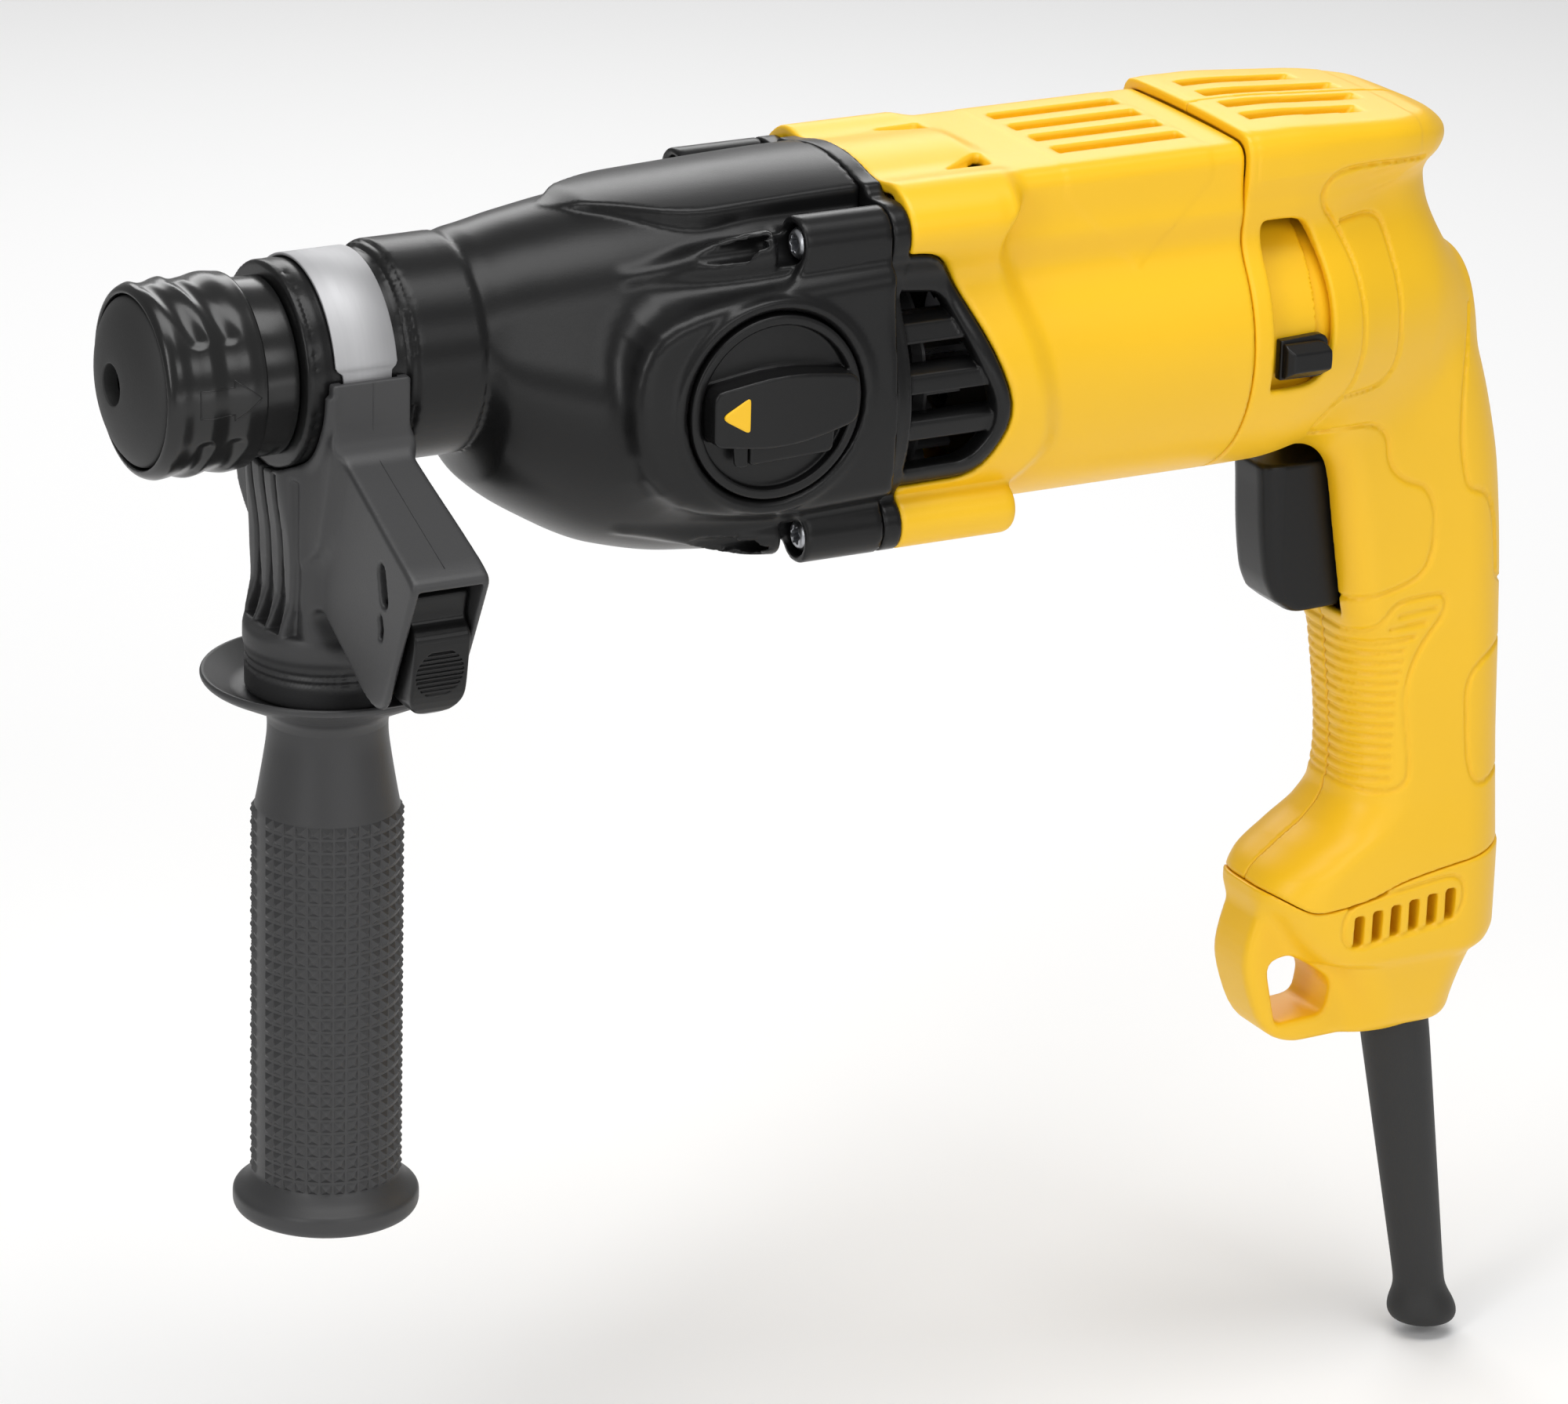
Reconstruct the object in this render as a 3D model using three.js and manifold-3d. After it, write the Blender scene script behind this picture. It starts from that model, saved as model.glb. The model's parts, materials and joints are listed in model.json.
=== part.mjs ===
// Rotary hammer drill with its side handle, as an assembly of separate pieces.
// Millimetres, +Z up. The spindle turns about the X axis and the tool end points to -X.
// The origin is the centre of the face that a drill bit's shank strikes.
import * as THREE from 'three';
import { ConvexGeometry } from 'three/addons/geometries/ConvexGeometry.js';
import { mergeVertices } from 'three/addons/utils/BufferGeometryUtils.js';
import Module from 'manifold-3d';

const wasm = await Module();
wasm.setup();

// ---- driving dimensions ---------------------------------------------------
const GAP = 0.3;                 // clearance between neighbouring pieces
const WALL = 2.6;                // wall of the moulded housings
const SHANK = 10;                // diameter of the tool shank
const NOSE = -51.5;              // front face of the dust cap
const SLEEVE_R = 22.3;           // locking sleeve
const CLAMP_R = 23.1;            // seat of the side handle's band on the gear case
const COLLAR_R = 25;             // polished collar behind the band
const COLLAR_REAR = 27.6;
const CASE_REAR = 122.7;         // joint between gear case and inner housing
const SHELL_FRONT = 125.4;       // joint between inner housing and motor housing
const SHELL_REAR = 218.9;        // joint between motor housing and handle
const MOTOR_Z = -17.6;           // height of the motor axis
const SHAFT_Z = -31.95;          // height of the intermediate shaft
const BARREL_R = 36;             // motor barrel
const TOP_Z = 32;                // top of the motor housing
const BIG_MODULE = 1.1;          // spindle gear and its pinion
const SPINDLE_TEETH = 46;
const PINION_TEETH = 12;
const SMALL_MODULE = 0.7;        // motor pinion and drive gear
const DRIVE_TEETH = 34;
const MOTOR_TEETH = 7;
const BORE_R = 10.3;             // cylinder bore of the spindle
const KNOB = { x: 92, z: -12, radius: 21.6 };
const GRIP_X = 0.8;              // axis of the side handle
const GRIP_END = -204.5;
const BASE_TOP = -163;           // joint between handle halves and handle base
const SCREW_ROWS = [{ y: 29.5, z: 22, x: 100.5 }, { y: 29, z: -47, x: 103 }];

// ---- finishes ---------------------------------------------------------------
const finish = (color, roughness, metalness = 0) =>
  new THREE.MeshStandardMaterial({ color, roughness, metalness });
const YELLOW = finish(0xf2b200, 0.38);
const BLACK = finish(0x101010, 0.35);
const GREY = finish(0x2e2e2f, 0.6);
const RUBBER = finish(0x141414, 0.75);
const STEEL = finish(0xb4b6b8, 0.35, 1);
const DARK_STEEL = finish(0x55585c, 0.45, 1);
const COPPER = finish(0xa8612f, 0.4, 1);
const CARBON = finish(0x262626, 0.8);

const hammer = new THREE.Group();

// ---- shape helpers ----------------------------------------------------------
// A closed geometry becomes a solid; doubled points are merged and slivers dropped.
function solid(geometry) {
  const bare = geometry.clone();
  for (const name of Object.keys(bare.attributes)) {
    if (name !== 'position') bare.deleteAttribute(name);
  }
  const merged = mergeVertices(bare, 1e-4);
  const place = merged.attributes.position;
  const index = merged.index.array;
  const kept = [];
  let sixVolumes = 0;
  for (let i = 0; i < index.length; i += 3) {
    const [a, b, c] = [index[i], index[i + 1], index[i + 2]];
    if (a === b || b === c || c === a) continue;
    const [p, q, r] = [a, b, c].map((k) => new THREE.Vector3().fromBufferAttribute(place, k));
    sixVolumes += p.dot(q.cross(r));
    kept.push(a, b, c);
  }
  if (sixVolumes < 0) kept.reverse();
  const mesh = new wasm.Mesh({
    numProp: 3,
    vertProperties: new Float32Array(place.array),
    triVerts: new Uint32Array(kept),
  });
  return new wasm.Manifold(mesh);
}

function geometryOf(body) {
  const mesh = body.getMesh();
  const geometry = new THREE.BufferGeometry();
  geometry.setAttribute('position', new THREE.BufferAttribute(mesh.vertProperties, 3));
  geometry.setIndex(new THREE.BufferAttribute(mesh.triVerts, 1));
  geometry.computeVertexNormals();
  return geometry;
}

function add(name, body, material) {
  const mesh = new THREE.Mesh(geometryOf(body), material);
  mesh.name = name;
  hammer.add(mesh);
}

const union = (...bodies) => bodies.reduce((whole, next) => whole.add(next));

// Turned about a line parallel to X; the profile's corners are [x, radius].
function turned(profile, { sides = 20, y = 0, z = 0 } = {}) {
  const points = profile.map(([x, radius]) => new THREE.Vector2(radius, x));
  const geometry = new THREE.LatheGeometry(points, sides);
  geometry.rotateZ(-Math.PI / 2).translate(0, y, z);
  return solid(geometry);
}

function ringAlongX(x0, x1, inner, outer, options) {
  const profile = [[x0, inner], [x0, outer], [x1, outer], [x1, inner], [x0, inner]];
  return turned(profile, options);
}

function rodAlongX(x0, x1, radius, options) {
  return turned([[x0, 0], [x0, radius], [x1, radius], [x1, 0]], options);
}

function rodAlongY(y0, y1, radius, x, z, sides = 20) {
  const geometry = new THREE.CylinderGeometry(radius, radius, y1 - y0, sides);
  return solid(geometry.translate(x, (y0 + y1) / 2, z));
}

// Turned about a line parallel to Z; the profile's corners are [z, radius].
function turnedUpright(profile, { sides = 20, x = 0, y = 0 } = {}) {
  const points = profile.map(([z, radius]) => new THREE.Vector2(radius, z));
  const geometry = new THREE.LatheGeometry(points, sides);
  return solid(geometry.rotateX(Math.PI / 2).translate(x, y, 0));
}

function block(x0, x1, y0, y1, z0, z1) {
  const geometry = new THREE.BoxGeometry(x1 - x0, y1 - y0, z1 - z0);
  return solid(geometry.translate((x0 + x1) / 2, (y0 + y1) / 2, (z0 + z1) / 2));
}

// A closed outline whose corners are [u, v, rounding].
function outline(corners) {
  const shape = new THREE.Shape();
  const count = corners.length;
  corners.forEach(([u, v, rounding = 0], i) => {
    const corner = new THREE.Vector2(u, v);
    const before = new THREE.Vector2(...corners[(i + count - 1) % count]).sub(corner);
    const after = new THREE.Vector2(...corners[(i + 1) % count]).sub(corner);
    const start = corner.clone().add(before.setLength(Math.min(rounding, before.length() / 2)));
    const end = corner.clone().add(after.setLength(Math.min(rounding, after.length() / 2)));
    if (i === 0) shape.moveTo(start.x, start.y);
    else shape.lineTo(start.x, start.y);
    if (rounding > 0) shape.quadraticCurveTo(u, v, end.x, end.y);
  });
  shape.closePath();
  return shape;
}

function plate(corners, depth, curveSegments = 2) {
  return new THREE.ExtrudeGeometry(outline(corners), { depth, bevelEnabled: false, curveSegments });
}

// Outlines in the XZ and YZ planes, with thickness along the third axis.
function plateAlongY(corners, y0, y1) {
  return solid(plate(corners, y1 - y0).rotateX(Math.PI / 2).translate(0, y1, 0));
}

function plateAlongX(corners, x0, x1) {
  const turn = new THREE.Matrix4().set(0, 0, 1, x0, 1, 0, 0, 0, 0, 1, 0, 0, 0, 0, 0, 1);
  return solid(plate(corners, x1 - x0).applyMatrix4(turn));
}

// The smallest convex body around some rings of points.
const hull = (...rings) => solid(new ConvexGeometry(rings.flat()));

function circleAtX(x, radius, z, { y = 0, sides = 20 } = {}) {
  return Array.from({ length: sides }, (_, i) => {
    const turn = (i / sides) * 2 * Math.PI;
    return new THREE.Vector3(x, y + radius * Math.cos(turn), z + radius * Math.sin(turn));
  });
}

// A rounded rectangle lying flat at one height; it narrows to round ends.
function sliceAtZ(z, front, rear, halfWidth, rounding = halfWidth * 0.8) {
  const corners = [[rear, halfWidth], [front, halfWidth], [front, -halfWidth], [rear, -halfWidth]];
  const centres = corners.map(([x, y]) => [x - Math.sign(x - (front + rear) / 2) * rounding,
    y - Math.sign(y) * rounding]);
  return centres.flatMap(([x, y], i) => Array.from({ length: 4 }, (_, k) => {
    const turn = (i + k / 3) * Math.PI / 2;
    return new THREE.Vector3(x + rounding * Math.cos(turn), y + rounding * Math.sin(turn), z);
  }));
}

// Straight-sided teeth with running clearance; the first tooth points along +Z when phase is 0.
function toothed(teeth, module, x0, x1, bore, z, phase = 0) {
  const pitch = (teeth * module) / 2;
  const tip = pitch + 0.85 * module;
  const root = pitch - 1.2 * module;
  const step = (2 * Math.PI) / teeth;
  const shape = new THREE.Shape();
  for (let i = 0; i < teeth; i += 1) {
    const middle = Math.PI / 2 + i * step + phase;
    const corners = [[root, -0.34], [tip, -0.12], [tip, 0.12], [root, 0.34]];
    corners.forEach(([radius, share], k) => {
      const angle = middle + share * step;
      const point = [radius * Math.cos(angle), radius * Math.sin(angle)];
      if (i === 0 && k === 0) shape.moveTo(...point);
      else shape.lineTo(...point);
    });
  }
  shape.closePath();
  if (bore > 0) shape.holes.push(new THREE.Path().absarc(0, 0, bore, 0, 2 * Math.PI, true));
  const geometry = new THREE.ExtrudeGeometry(shape, { depth: x1 - x0, bevelEnabled: false, curveSegments: 12 });
  const turn = new THREE.Matrix4().set(0, 0, 1, x0, 1, 0, 0, 0, 0, 1, 0, z, 0, 0, 0, 1);
  return solid(geometry.applyMatrix4(turn));
}

// ---- chuck ------------------------------------------------------------------
function dustCap() {
  const hole = SHANK / 2 - 0.3;
  const profile = [[NOSE, hole], [NOSE, 7], [-50.4, 13.2], [-48.6, 17], [-46, 19.1], [-42.6, 19.1],
    [-42.6, 9.9], [-47.8, 9.9], [-47.8, hole], [NOSE, hole]];
  add('dust_cap', turned(profile, { sides: 24 }), RUBBER);
}

function lockingSleeve() {
  const profile = [[-46.8, 19.5], [-46.4, 21.2], [-44, 22], [-39.5, 21.9], [-37, SLEEVE_R], [-32.5, 21.9],
    [-28, SLEEVE_R], [-23.2, 22], [-23.2, 20.4], [-36, 20.4], [-36, 12.6], [-39, 12.6], [-39, 19.5], [-46.8, 19.5]];
  add('locking_sleeve', turned(profile, { sides: 24 }), BLACK);
}

function chuckCollar() {
  const profile = [[-24, 15], [-24, 20], [-15.2, 20], [-15.2, 9.8], [-20, 9.8], [-20, 15], [-24, 15]];
  add('chuck_collar', turned(profile), DARK_STEEL);
}

function lockingBalls() {
  for (const [name, side] of [['locking_ball_left', -1], ['locking_ball_right', 1]]) {
    const ball = new THREE.SphereGeometry(2.6, 12, 8).translate(-35, side * 8.2, 0);
    add(name, solid(ball), STEEL);
  }
}

function sleeveSpring() {
  const turns = 3;
  const curve = new THREE.CatmullRomCurve3(Array.from({ length: turns * 10 + 1 }, (_, i) => {
    const turn = (i / 10) * 2 * Math.PI;
    return new THREE.Vector3(-27.4 + (i / (turns * 10)) * 5.8, 12.6 * Math.cos(turn), 12.6 * Math.sin(turn));
  }));
  const wire = new THREE.Shape().absarc(0, 0, 0.8, 0, 2 * Math.PI);
  const coil = new THREE.ExtrudeGeometry(wire, {
    extrudePath: curve, steps: turns * 12, curveSegments: 2, bevelEnabled: false,
  });
  add('sleeve_spring', solid(coil), STEEL);
}

// ---- hammer mechanism -------------------------------------------------------
function spindle() {
  const profile = [[-47.4, SHANK / 2 + 0.15], [-47.4, 9.5], [-14.4, 9.5], [-14.4, 11.9], [40, 11.9],
    [40, 13.5], [91, 13.5], [91, BORE_R], [36, BORE_R], [36, 8.3], [6, 8.3], [6, SHANK / 2 + 0.15],
    [-47.4, SHANK / 2 + 0.15]];
  const windows = rodAlongY(-12, 12, 3, -35, 0, 16);
  add('spindle', turned(profile, { sides: 18 }).subtract(windows), STEEL);
}

function flyingMasses() {
  const tail = [[0, 0], [0, 4.3], [0.6, 4.7], [14, 4.7], [15, 8], [24, 8], [25, 5.4], [35, 5.4], [36, 4.6], [36, 0]];
  add('beat_piece', turned(tail, { sides: 24 }), STEEL);
  const striker = [[36.5, 0], [36.5, 5], [42, 5.4], [43, 10], [47, 10], [47, 9.2], [49, 9.2], [49, 10],
    [58, 10], [58, 0]];
  add('striker', turned(striker, { sides: 16 }), STEEL);
}

function piston() {
  const crown = [[76, 0], [76, 10], [79, 10], [79, 9.2], [81, 9.2], [81, 10], [94, 10], [94, 0]];
  const tail = block(90, 106, -8, 8, -6, 6);
  const slot = block(96.6, 103.4, -3.8, 3.8, -7, 7);
  add('piston', turned(crown, { sides: 28 }).add(tail).subtract(slot), DARK_STEEL);
}

function spindleDrive() {
  const teeth = toothed(SPINDLE_TEETH, BIG_MODULE, 66, 77, 13.5 + GAP, 0);
  add('spindle_gear', teeth, DARK_STEEL);
}

// A tooth of the spindle gear points down at 6 o'clock, so the pinion turns to a gap there.
function intermediateShaft() {
  const at = { z: SHAFT_Z, sides: 16 };
  const spindleTooth = SPINDLE_TEETH % 2 === 0 ? 0.5 : 0;
  const pinion = toothed(PINION_TEETH, BIG_MODULE, 65, 78, 0, SHAFT_Z, spindleTooth * 2 * Math.PI / PINION_TEETH);
  const shaft = rodAlongX(50, 123.6, 4, at);
  add('intermediate_shaft', union(shaft, pinion), STEEL);
  const drum = [[93, 4.3], [93, 8.2], [95.4, 10.6], [104.6, 10.6], [107, 8.2], [107, 4.3], [93, 4.3]];
  add('wobble_drum', turned(drum, at), DARK_STEEL);
  add('drive_gear', toothed(DRIVE_TEETH, SMALL_MODULE, 112, 118, 4.3, SHAFT_Z), DARK_STEEL);
  const sleeve = [[81, 4.3], [81, 8], [83.6, 8], [83.6, 6.4], [86.6, 6.4], [86.6, 8], [89, 8], [89, 4.3], [81, 4.3]];
  add('clutch_sleeve', turned(sleeve, at), DARK_STEEL);
}

function wobbleRing() {
  const race = turned([[95.5, 11.9], [95.5, 15.6], [104.5, 15.6], [104.5, 11.9], [95.5, 11.9]],
    { z: SHAFT_Z, sides: 28 });
  const finger = turnedUpright([[-18.5, 0], [-18.5, 3.2], [-9, 2.2], [-2.6, 2.2], [-2.6, 0]], { x: 100, sides: 14 });
  const tip = solid(new THREE.SphereGeometry(3, 14, 8).translate(100, 0, 0));
  add('wobble_ring', union(race, finger, tip), STEEL);
}

// The plate lies beside the gears; its leg ends in a fork in the clutch sleeve's groove.
function shiftFork() {
  const beam = block(80, 105, -26.6, -24.6, -22, -3);
  const window = block(85.6, 98.4, -28, -23, -18.4, -5.6);
  const leg = block(84.1, 86.1, -25.6, -5, -36, -22.05);
  const foot = block(84.1, 86.1, -26.6, -24.6, -36, -20);
  const groove = rodAlongX(83, 88, 6.8, { z: SHAFT_Z, sides: 16 });
  add('shift_fork', union(beam.subtract(window), leg, foot).subtract(groove), DARK_STEEL);
}

// ---- gear case --------------------------------------------------------------
// The case's cross sections wrap the spindle above and the motor line below.
function caseForm(inset, rear) {
  const sections = [[COLLAR_REAR, 24.4, 0, 24.4, 0], [33, 27, -6, 24.6, 1], [45, 31, -11, 26.2, 1.6],
    [62, 34.6, -16, 28, 2.2], [80, 37, MOTOR_Z, 28.6, 3], [98, 38.4, MOTOR_Z, 29.2, 4], [rear, 38.4, MOTOR_Z, 29.2, 4]];
  return hull(...sections.map(([x, low, lowZ, high, highZ], i) => {
    const place = i === 0 ? x + inset * 1.6 : x;
    return [...circleAtX(place, low - inset, lowZ), ...circleAtX(place, high - inset, highZ)];
  }));
}

function screwBosses(from, to, radius) {
  return SCREW_ROWS.flatMap(({ y, z, x }) => [-1, 1].map((side) =>
    rodAlongX(Math.max(from, x), to, radius, { y: side * y, z, sides: 16 })));
}

function gearCase() {
  const collar = [[-14.8, 14], [-14.8, 23.3], [-9.7, 23.3], [-9.7, CLAMP_R], [9.4, CLAMP_R], [9.4, 24.2],
    [11.2, 24.2], [11.2, COLLAR_R], [29, COLLAR_R], [29, 14], [-14.8, 14]];
  const pad = plateAlongY([[54, 20], [58, 30.4, 2], [84, 32.8, 2], [118, 34, 1], [118, 20]], -14, 14);
  const plateau = rodAlongY(-39, -20, 27, KNOB.x, KNOB.z, 28);
  const outer = union(caseForm(0, CASE_REAR), pad, plateau, ...screwBosses(0, CASE_REAR, 6.4));
  const shaftSeat = rodAlongX(30, 57, 10.6, { z: SHAFT_Z, sides: 16 });
  const cavity = caseForm(WALL, CASE_REAR + 2).subtract(shaftSeat);
  const bearingSeat = rodAlongX(13, 40, 18.3);
  const bore = rodAlongX(-20, 20, 14);
  const shaftPocket = rodAlongX(49.7, 60, 8 + GAP, { z: SHAFT_Z, sides: 16 });
  const screwHoles = SCREW_ROWS.flatMap(({ y, z }) => [-1, 1].map((side) =>
    rodAlongX(90, CASE_REAR + 1, 2.4, { y: side * y, z, sides: 12 })));
  const counterbores = SCREW_ROWS.flatMap(({ y, z, x }) => [-1, 1].map((side) =>
    rodAlongX(x - 12, x + 4, 4.6, { y: side * y, z, sides: 16 })));
  const knobRecess = rodAlongY(-41, -35, KNOB.radius + GAP, KNOB.x, KNOB.z, 28);
  const knobShaft = rodAlongY(-41, -20, 7.4, KNOB.x, KNOB.z, 24);
  const form = [cavity, bearingSeat, bore, shaftPocket, ...screwHoles, ...counterbores, knobRecess, knobShaft]
    .reduce((body, cut) => body.subtract(cut), outer);
  add('gearbox_housing', turned(collar, { sides: 28 }).subtract(bearingSeat).add(form), BLACK);
}

function caseScrews() {
  const names = ['upper_left', 'upper_right', 'lower_left', 'lower_right'];
  const places = SCREW_ROWS.flatMap(({ y, z, x }) => [-1, 1].map((side) => [side * y, z, x]));
  places.forEach(([y, z, x], i) => {
    const screw = turned([[x + 0.6, 0], [x + 0.6, 3.9], [x + 3.7, 4], [x + 3.7, 2.1], [x + 34, 2.1], [x + 35, 0]],
      { y, z, sides: 16 });
    const socket = rodAlongX(x, x + 2.6, 1.9, { y, z, sides: 6 });
    add(`gearbox_screw_${names[i]}`, screw.subtract(socket), DARK_STEEL);
  });
}

function bearing(name, x0, x1, inner, outer, z) {
  const mid = (inner + outer) / 2;
  const profile = [[x0, inner], [x0, mid - 0.9], [x0 + 0.7, mid - 0.9], [x0 + 0.7, mid + 0.9], [x0, mid + 0.9],
    [x0, outer], [x1, outer], [x1, inner], [x0, inner]];
  add(name, turned(profile, { z, sides: 16 }), STEEL);
}

function bearings() {
  bearing('spindle_front_bearing', 14, 24, 12.2, 18, 0);
  bearing('spindle_rear_bearing', 80, 88, 13.8, 18.6, 0);
  bearing('intermediate_front_bearing', 50.2, 56, 4.3, 8, SHAFT_Z);
  bearing('intermediate_rear_bearing', 120, 123.6, 4.3, 7, SHAFT_Z);
  bearing('armature_front_bearing', 125, 131, 4.3, 9.2, MOTOR_Z);
  bearing('armature_rear_bearing', 240, 247, 3.8, 9.5, MOTOR_Z);
  const seal = [[-12, 12.2], [-12, 13.7], [-6, 13.7], [-6, 12.9], [-10, 12.9], [-10, 12.2], [-12, 12.2]];
  add('front_seal', turned(seal), RUBBER);
}

// ---- mode selector ----------------------------------------------------------
function modeKnob() {
  const { x, z, radius } = KNOB;
  const disc = rodAlongY(-40.2, -35.3, radius, x, z, 28);
  const face = rodAlongY(-41, -38.6, radius - 3.4, x, z, 28);
  const bar = plateAlongY([[x - 20, z - 2.2, 2], [x - 17.5, z + 6.6, 3], [x, z + 9, 12], [x + 17.5, z + 7, 3],
    [x + 20, z - 3, 2], [x + 16.5, z - 6.5, 2], [x, z - 8, 10], [x - 17, z - 5.4, 2]], -45.4, -37);
  const shaft = rodAlongY(-36, -27.2, 7, x, z, 24);
  const pin = rodAlongY(-31.8, -24, 1.6, x, z + 4.2, 10);
  const arrowSeat = plateAlongY(arrowCorners(0.3), -46, -44.6);
  const buttonSeat = block(x - 12.3, x - 3.7, -46, -38.7, z - 15.3, z - 5);
  const knob = union(disc.subtract(face), bar, shaft, pin).subtract(arrowSeat).subtract(buttonSeat);
  add('mode_knob', knob, BLACK);
  add('mode_arrow', plateAlongY(arrowCorners(0), -45.6, -44.9), YELLOW);
  add('mode_lock_button', block(x - 12, x - 4, -43.4, -40.7, z - 15, z - 8.4), BLACK);
}

function arrowCorners(margin) {
  const { x, z } = KNOB;
  return [[x - 16.6 - margin, z + 0.6], [x - 9.4 + margin, z + 4.8 + margin], [x - 9.4 + margin, z - 3.6 - margin]];
}

// ---- inner housing, motor and fan ---------------------------------------------
const windowCorners = (grow) => [[SHELL_FRONT - 6, 8 + grow], [139 + grow, 6.4 + grow], [150 + grow, -18],
  [150 + grow, -25], [144 + grow, -33 - grow], [SHELL_FRONT - 6, -33 - grow]];

function louvreFrame(side) {
  const [y0, y1] = side < 0 ? [-36.4, -31.6] : [31.6, 36.4];
  const frame = plateAlongY(windowCorners(0), y0, y1).intersect(block(CASE_REAR + GAP, 160, -60, 60, -80, 60));
  const slots = [[4, 137], [-6.7, 141.8], [-17.9, 146.8], [-28.8, 143]].map(([z, end]) =>
    block(129, end, y0 - 1, y1 + 1, z - 2.4, z + 2.4));
  return slots.reduce((body, slot) => body.subtract(slot), frame);
}

function innerHousing() {
  const rim = caseForm(0, SHELL_FRONT - GAP).intersect(block(CASE_REAR + GAP, SHELL_FRONT - GAP, -60, 60, -80, 60));
  const plug = caseForm(WALL + GAP, 128).intersect(block(119.4, 128, -60, 60, -80, 60));
  const tube = ringAlongX(79.6, 119.6, 18.6 + GAP, 21.6).intersect(
    block(79, 91, -30, 30, -30, 30).add(block(90, 120, -30, 30, -5, 30)));
  const carrier = union(rim, plug, tube, louvreFrame(-1), louvreFrame(1));
  const cuts = [
    rodAlongX(124.7, 135, 9.2 + GAP, { z: MOTOR_Z }),
    rodAlongX(110, 135, 5.2, { z: MOTOR_Z, sides: 16 }),
    rodAlongX(110, 123.9, 7 + GAP, { z: SHAFT_Z, sides: 16 }),
    rodAlongX(126.5, 135, 28, { z: MOTOR_Z }),
    ...SCREW_ROWS.flatMap(({ y, z }) => [-1, 1].map((side) =>
      rodAlongX(110, 135, 2.4, { y: side * y, z, sides: 12 }))),
  ];
  add('inner_housing', cuts.reduce((body, cut) => body.subtract(cut), carrier), BLACK);
}

function barrelRing(x, inset, radius = BARREL_R, top = TOP_Z, corner = 23.4) {
  const shoulders = [-1, 1].flatMap((side) =>
    circleAtX(x, 4.6 - Math.min(inset, 3.6), top - 5.4, { y: side * corner, sides: 10 }));
  const crown = circleAtX(x, 30 - inset, top - 30);
  return [...circleAtX(x, radius - inset, MOTOR_Z), ...shoulders, ...crown];
}

function motorForm(inset, front, rear) {
  const flange = hull(barrelRing(front, inset, 38.4, 33.4, 21), barrelRing(158, inset, 38.4, 33.4, 22),
    barrelRing(172, inset));
  return flange.add(hull(barrelRing(150, inset), barrelRing(rear, inset)));
}

function motorHousing() {
  const bosses = SCREW_ROWS.flatMap(({ y, z }) => [-1, 1].map((side) =>
    rodAlongX(SHELL_FRONT, 156, 6.4, { y: side * y, z, sides: 16 })));
  const outer = union(motorForm(0, SHELL_FRONT, SHELL_REAR), ...bosses);
  const pockets = SCREW_ROWS.flatMap(({ y, z }) => [-1, 1].map((side) =>
    rodAlongX(SHELL_FRONT - 1, 141, 2.4, { y: side * y, z, sides: 12 })));
  const ventSlots = [-15, -5, 5, 15].map((y) => block(176, 206, y - 1.8, y + 1.8, 20, 40));
  const windows = [plateAlongY(windowCorners(GAP), -50, -20), plateAlongY(windowCorners(GAP), 20, 50)];
  const cavity = motorForm(WALL, SHELL_FRONT - 2, SHELL_REAR + 2)
    .subtract(union(...screwSleeves())).subtract(block(SHELL_REAR - 4, SHELL_REAR + 3, -60, 60, -80, 60).intersect(
      union(...screwSleeves())));
  const shell = [cavity, ...pockets, ...ventSlots, ...windows].reduce((body, cut) => body.subtract(cut), outer);
  const plugClearance = caseForm(WALL, 128.4).intersect(block(SHELL_FRONT - 3, 128.4, -60, 60, -80, 60));
  add('motor_housing', shell.subtract(plugClearance), YELLOW);
}

// Material left around the case screws inside the motor housing.
function screwSleeves() {
  return SCREW_ROWS.flatMap(({ y, z }) => [-1, 1].map((side) =>
    rodAlongX(128.6, 150, 4.4, { y: side * y, z, sides: 14 })));
}

function armature() {
  const at = { z: MOTOR_Z, sides: 16 };
  const shaft = rodAlongX(118.6, 247, 3.9, at).subtract(ringAlongX(238, 250, 3.5, 6, at));
  // The seven-tooth pinion meets a gap of the drive gear at 12 o'clock.
  const pinion = toothed(MOTOR_TEETH, SMALL_MODULE, 111.6, 120, 0, MOTOR_Z, Math.PI + Math.PI / MOTOR_TEETH);
  add('armature_shaft', union(shaft, pinion), STEEL);
  const slots = Array.from({ length: 12 }, (_, i) => {
    const turn = (i / 12) * 2 * Math.PI;
    const cut = new THREE.BoxGeometry(60, 3, 6).translate(182, 0, 19);
    return solid(cut.rotateX(turn).translate(0, 0, MOTOR_Z));
  });
  const core = ringAlongX(162, 203, 4.2, 19.6, { z: MOTOR_Z, sides: 24 });
  add('armature_core', slots.reduce((body, cut) => body.subtract(cut), core), DARK_STEEL);
  add('commutator', ringAlongX(215, 230, 4.2, 11, { z: MOTOR_Z, sides: 24 }), COPPER);
  const hub = turned([[134, 4.2], [134, 27], [135.6, 29], [136.4, 29], [136.4, 9], [147, 9], [147, 4.2], [134, 4.2]], { z: MOTOR_Z });
  const blades = Array.from({ length: 12 }, (_, i) => {
    const blade = new THREE.BoxGeometry(9, 1.4, 20).translate(140.6, 0, 18.6);
    return solid(blade.rotateX((i / 12) * 2 * Math.PI).translate(0, 0, MOTOR_Z));
  });
  add('fan', union(hub, ...blades), GREY);
}

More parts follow.
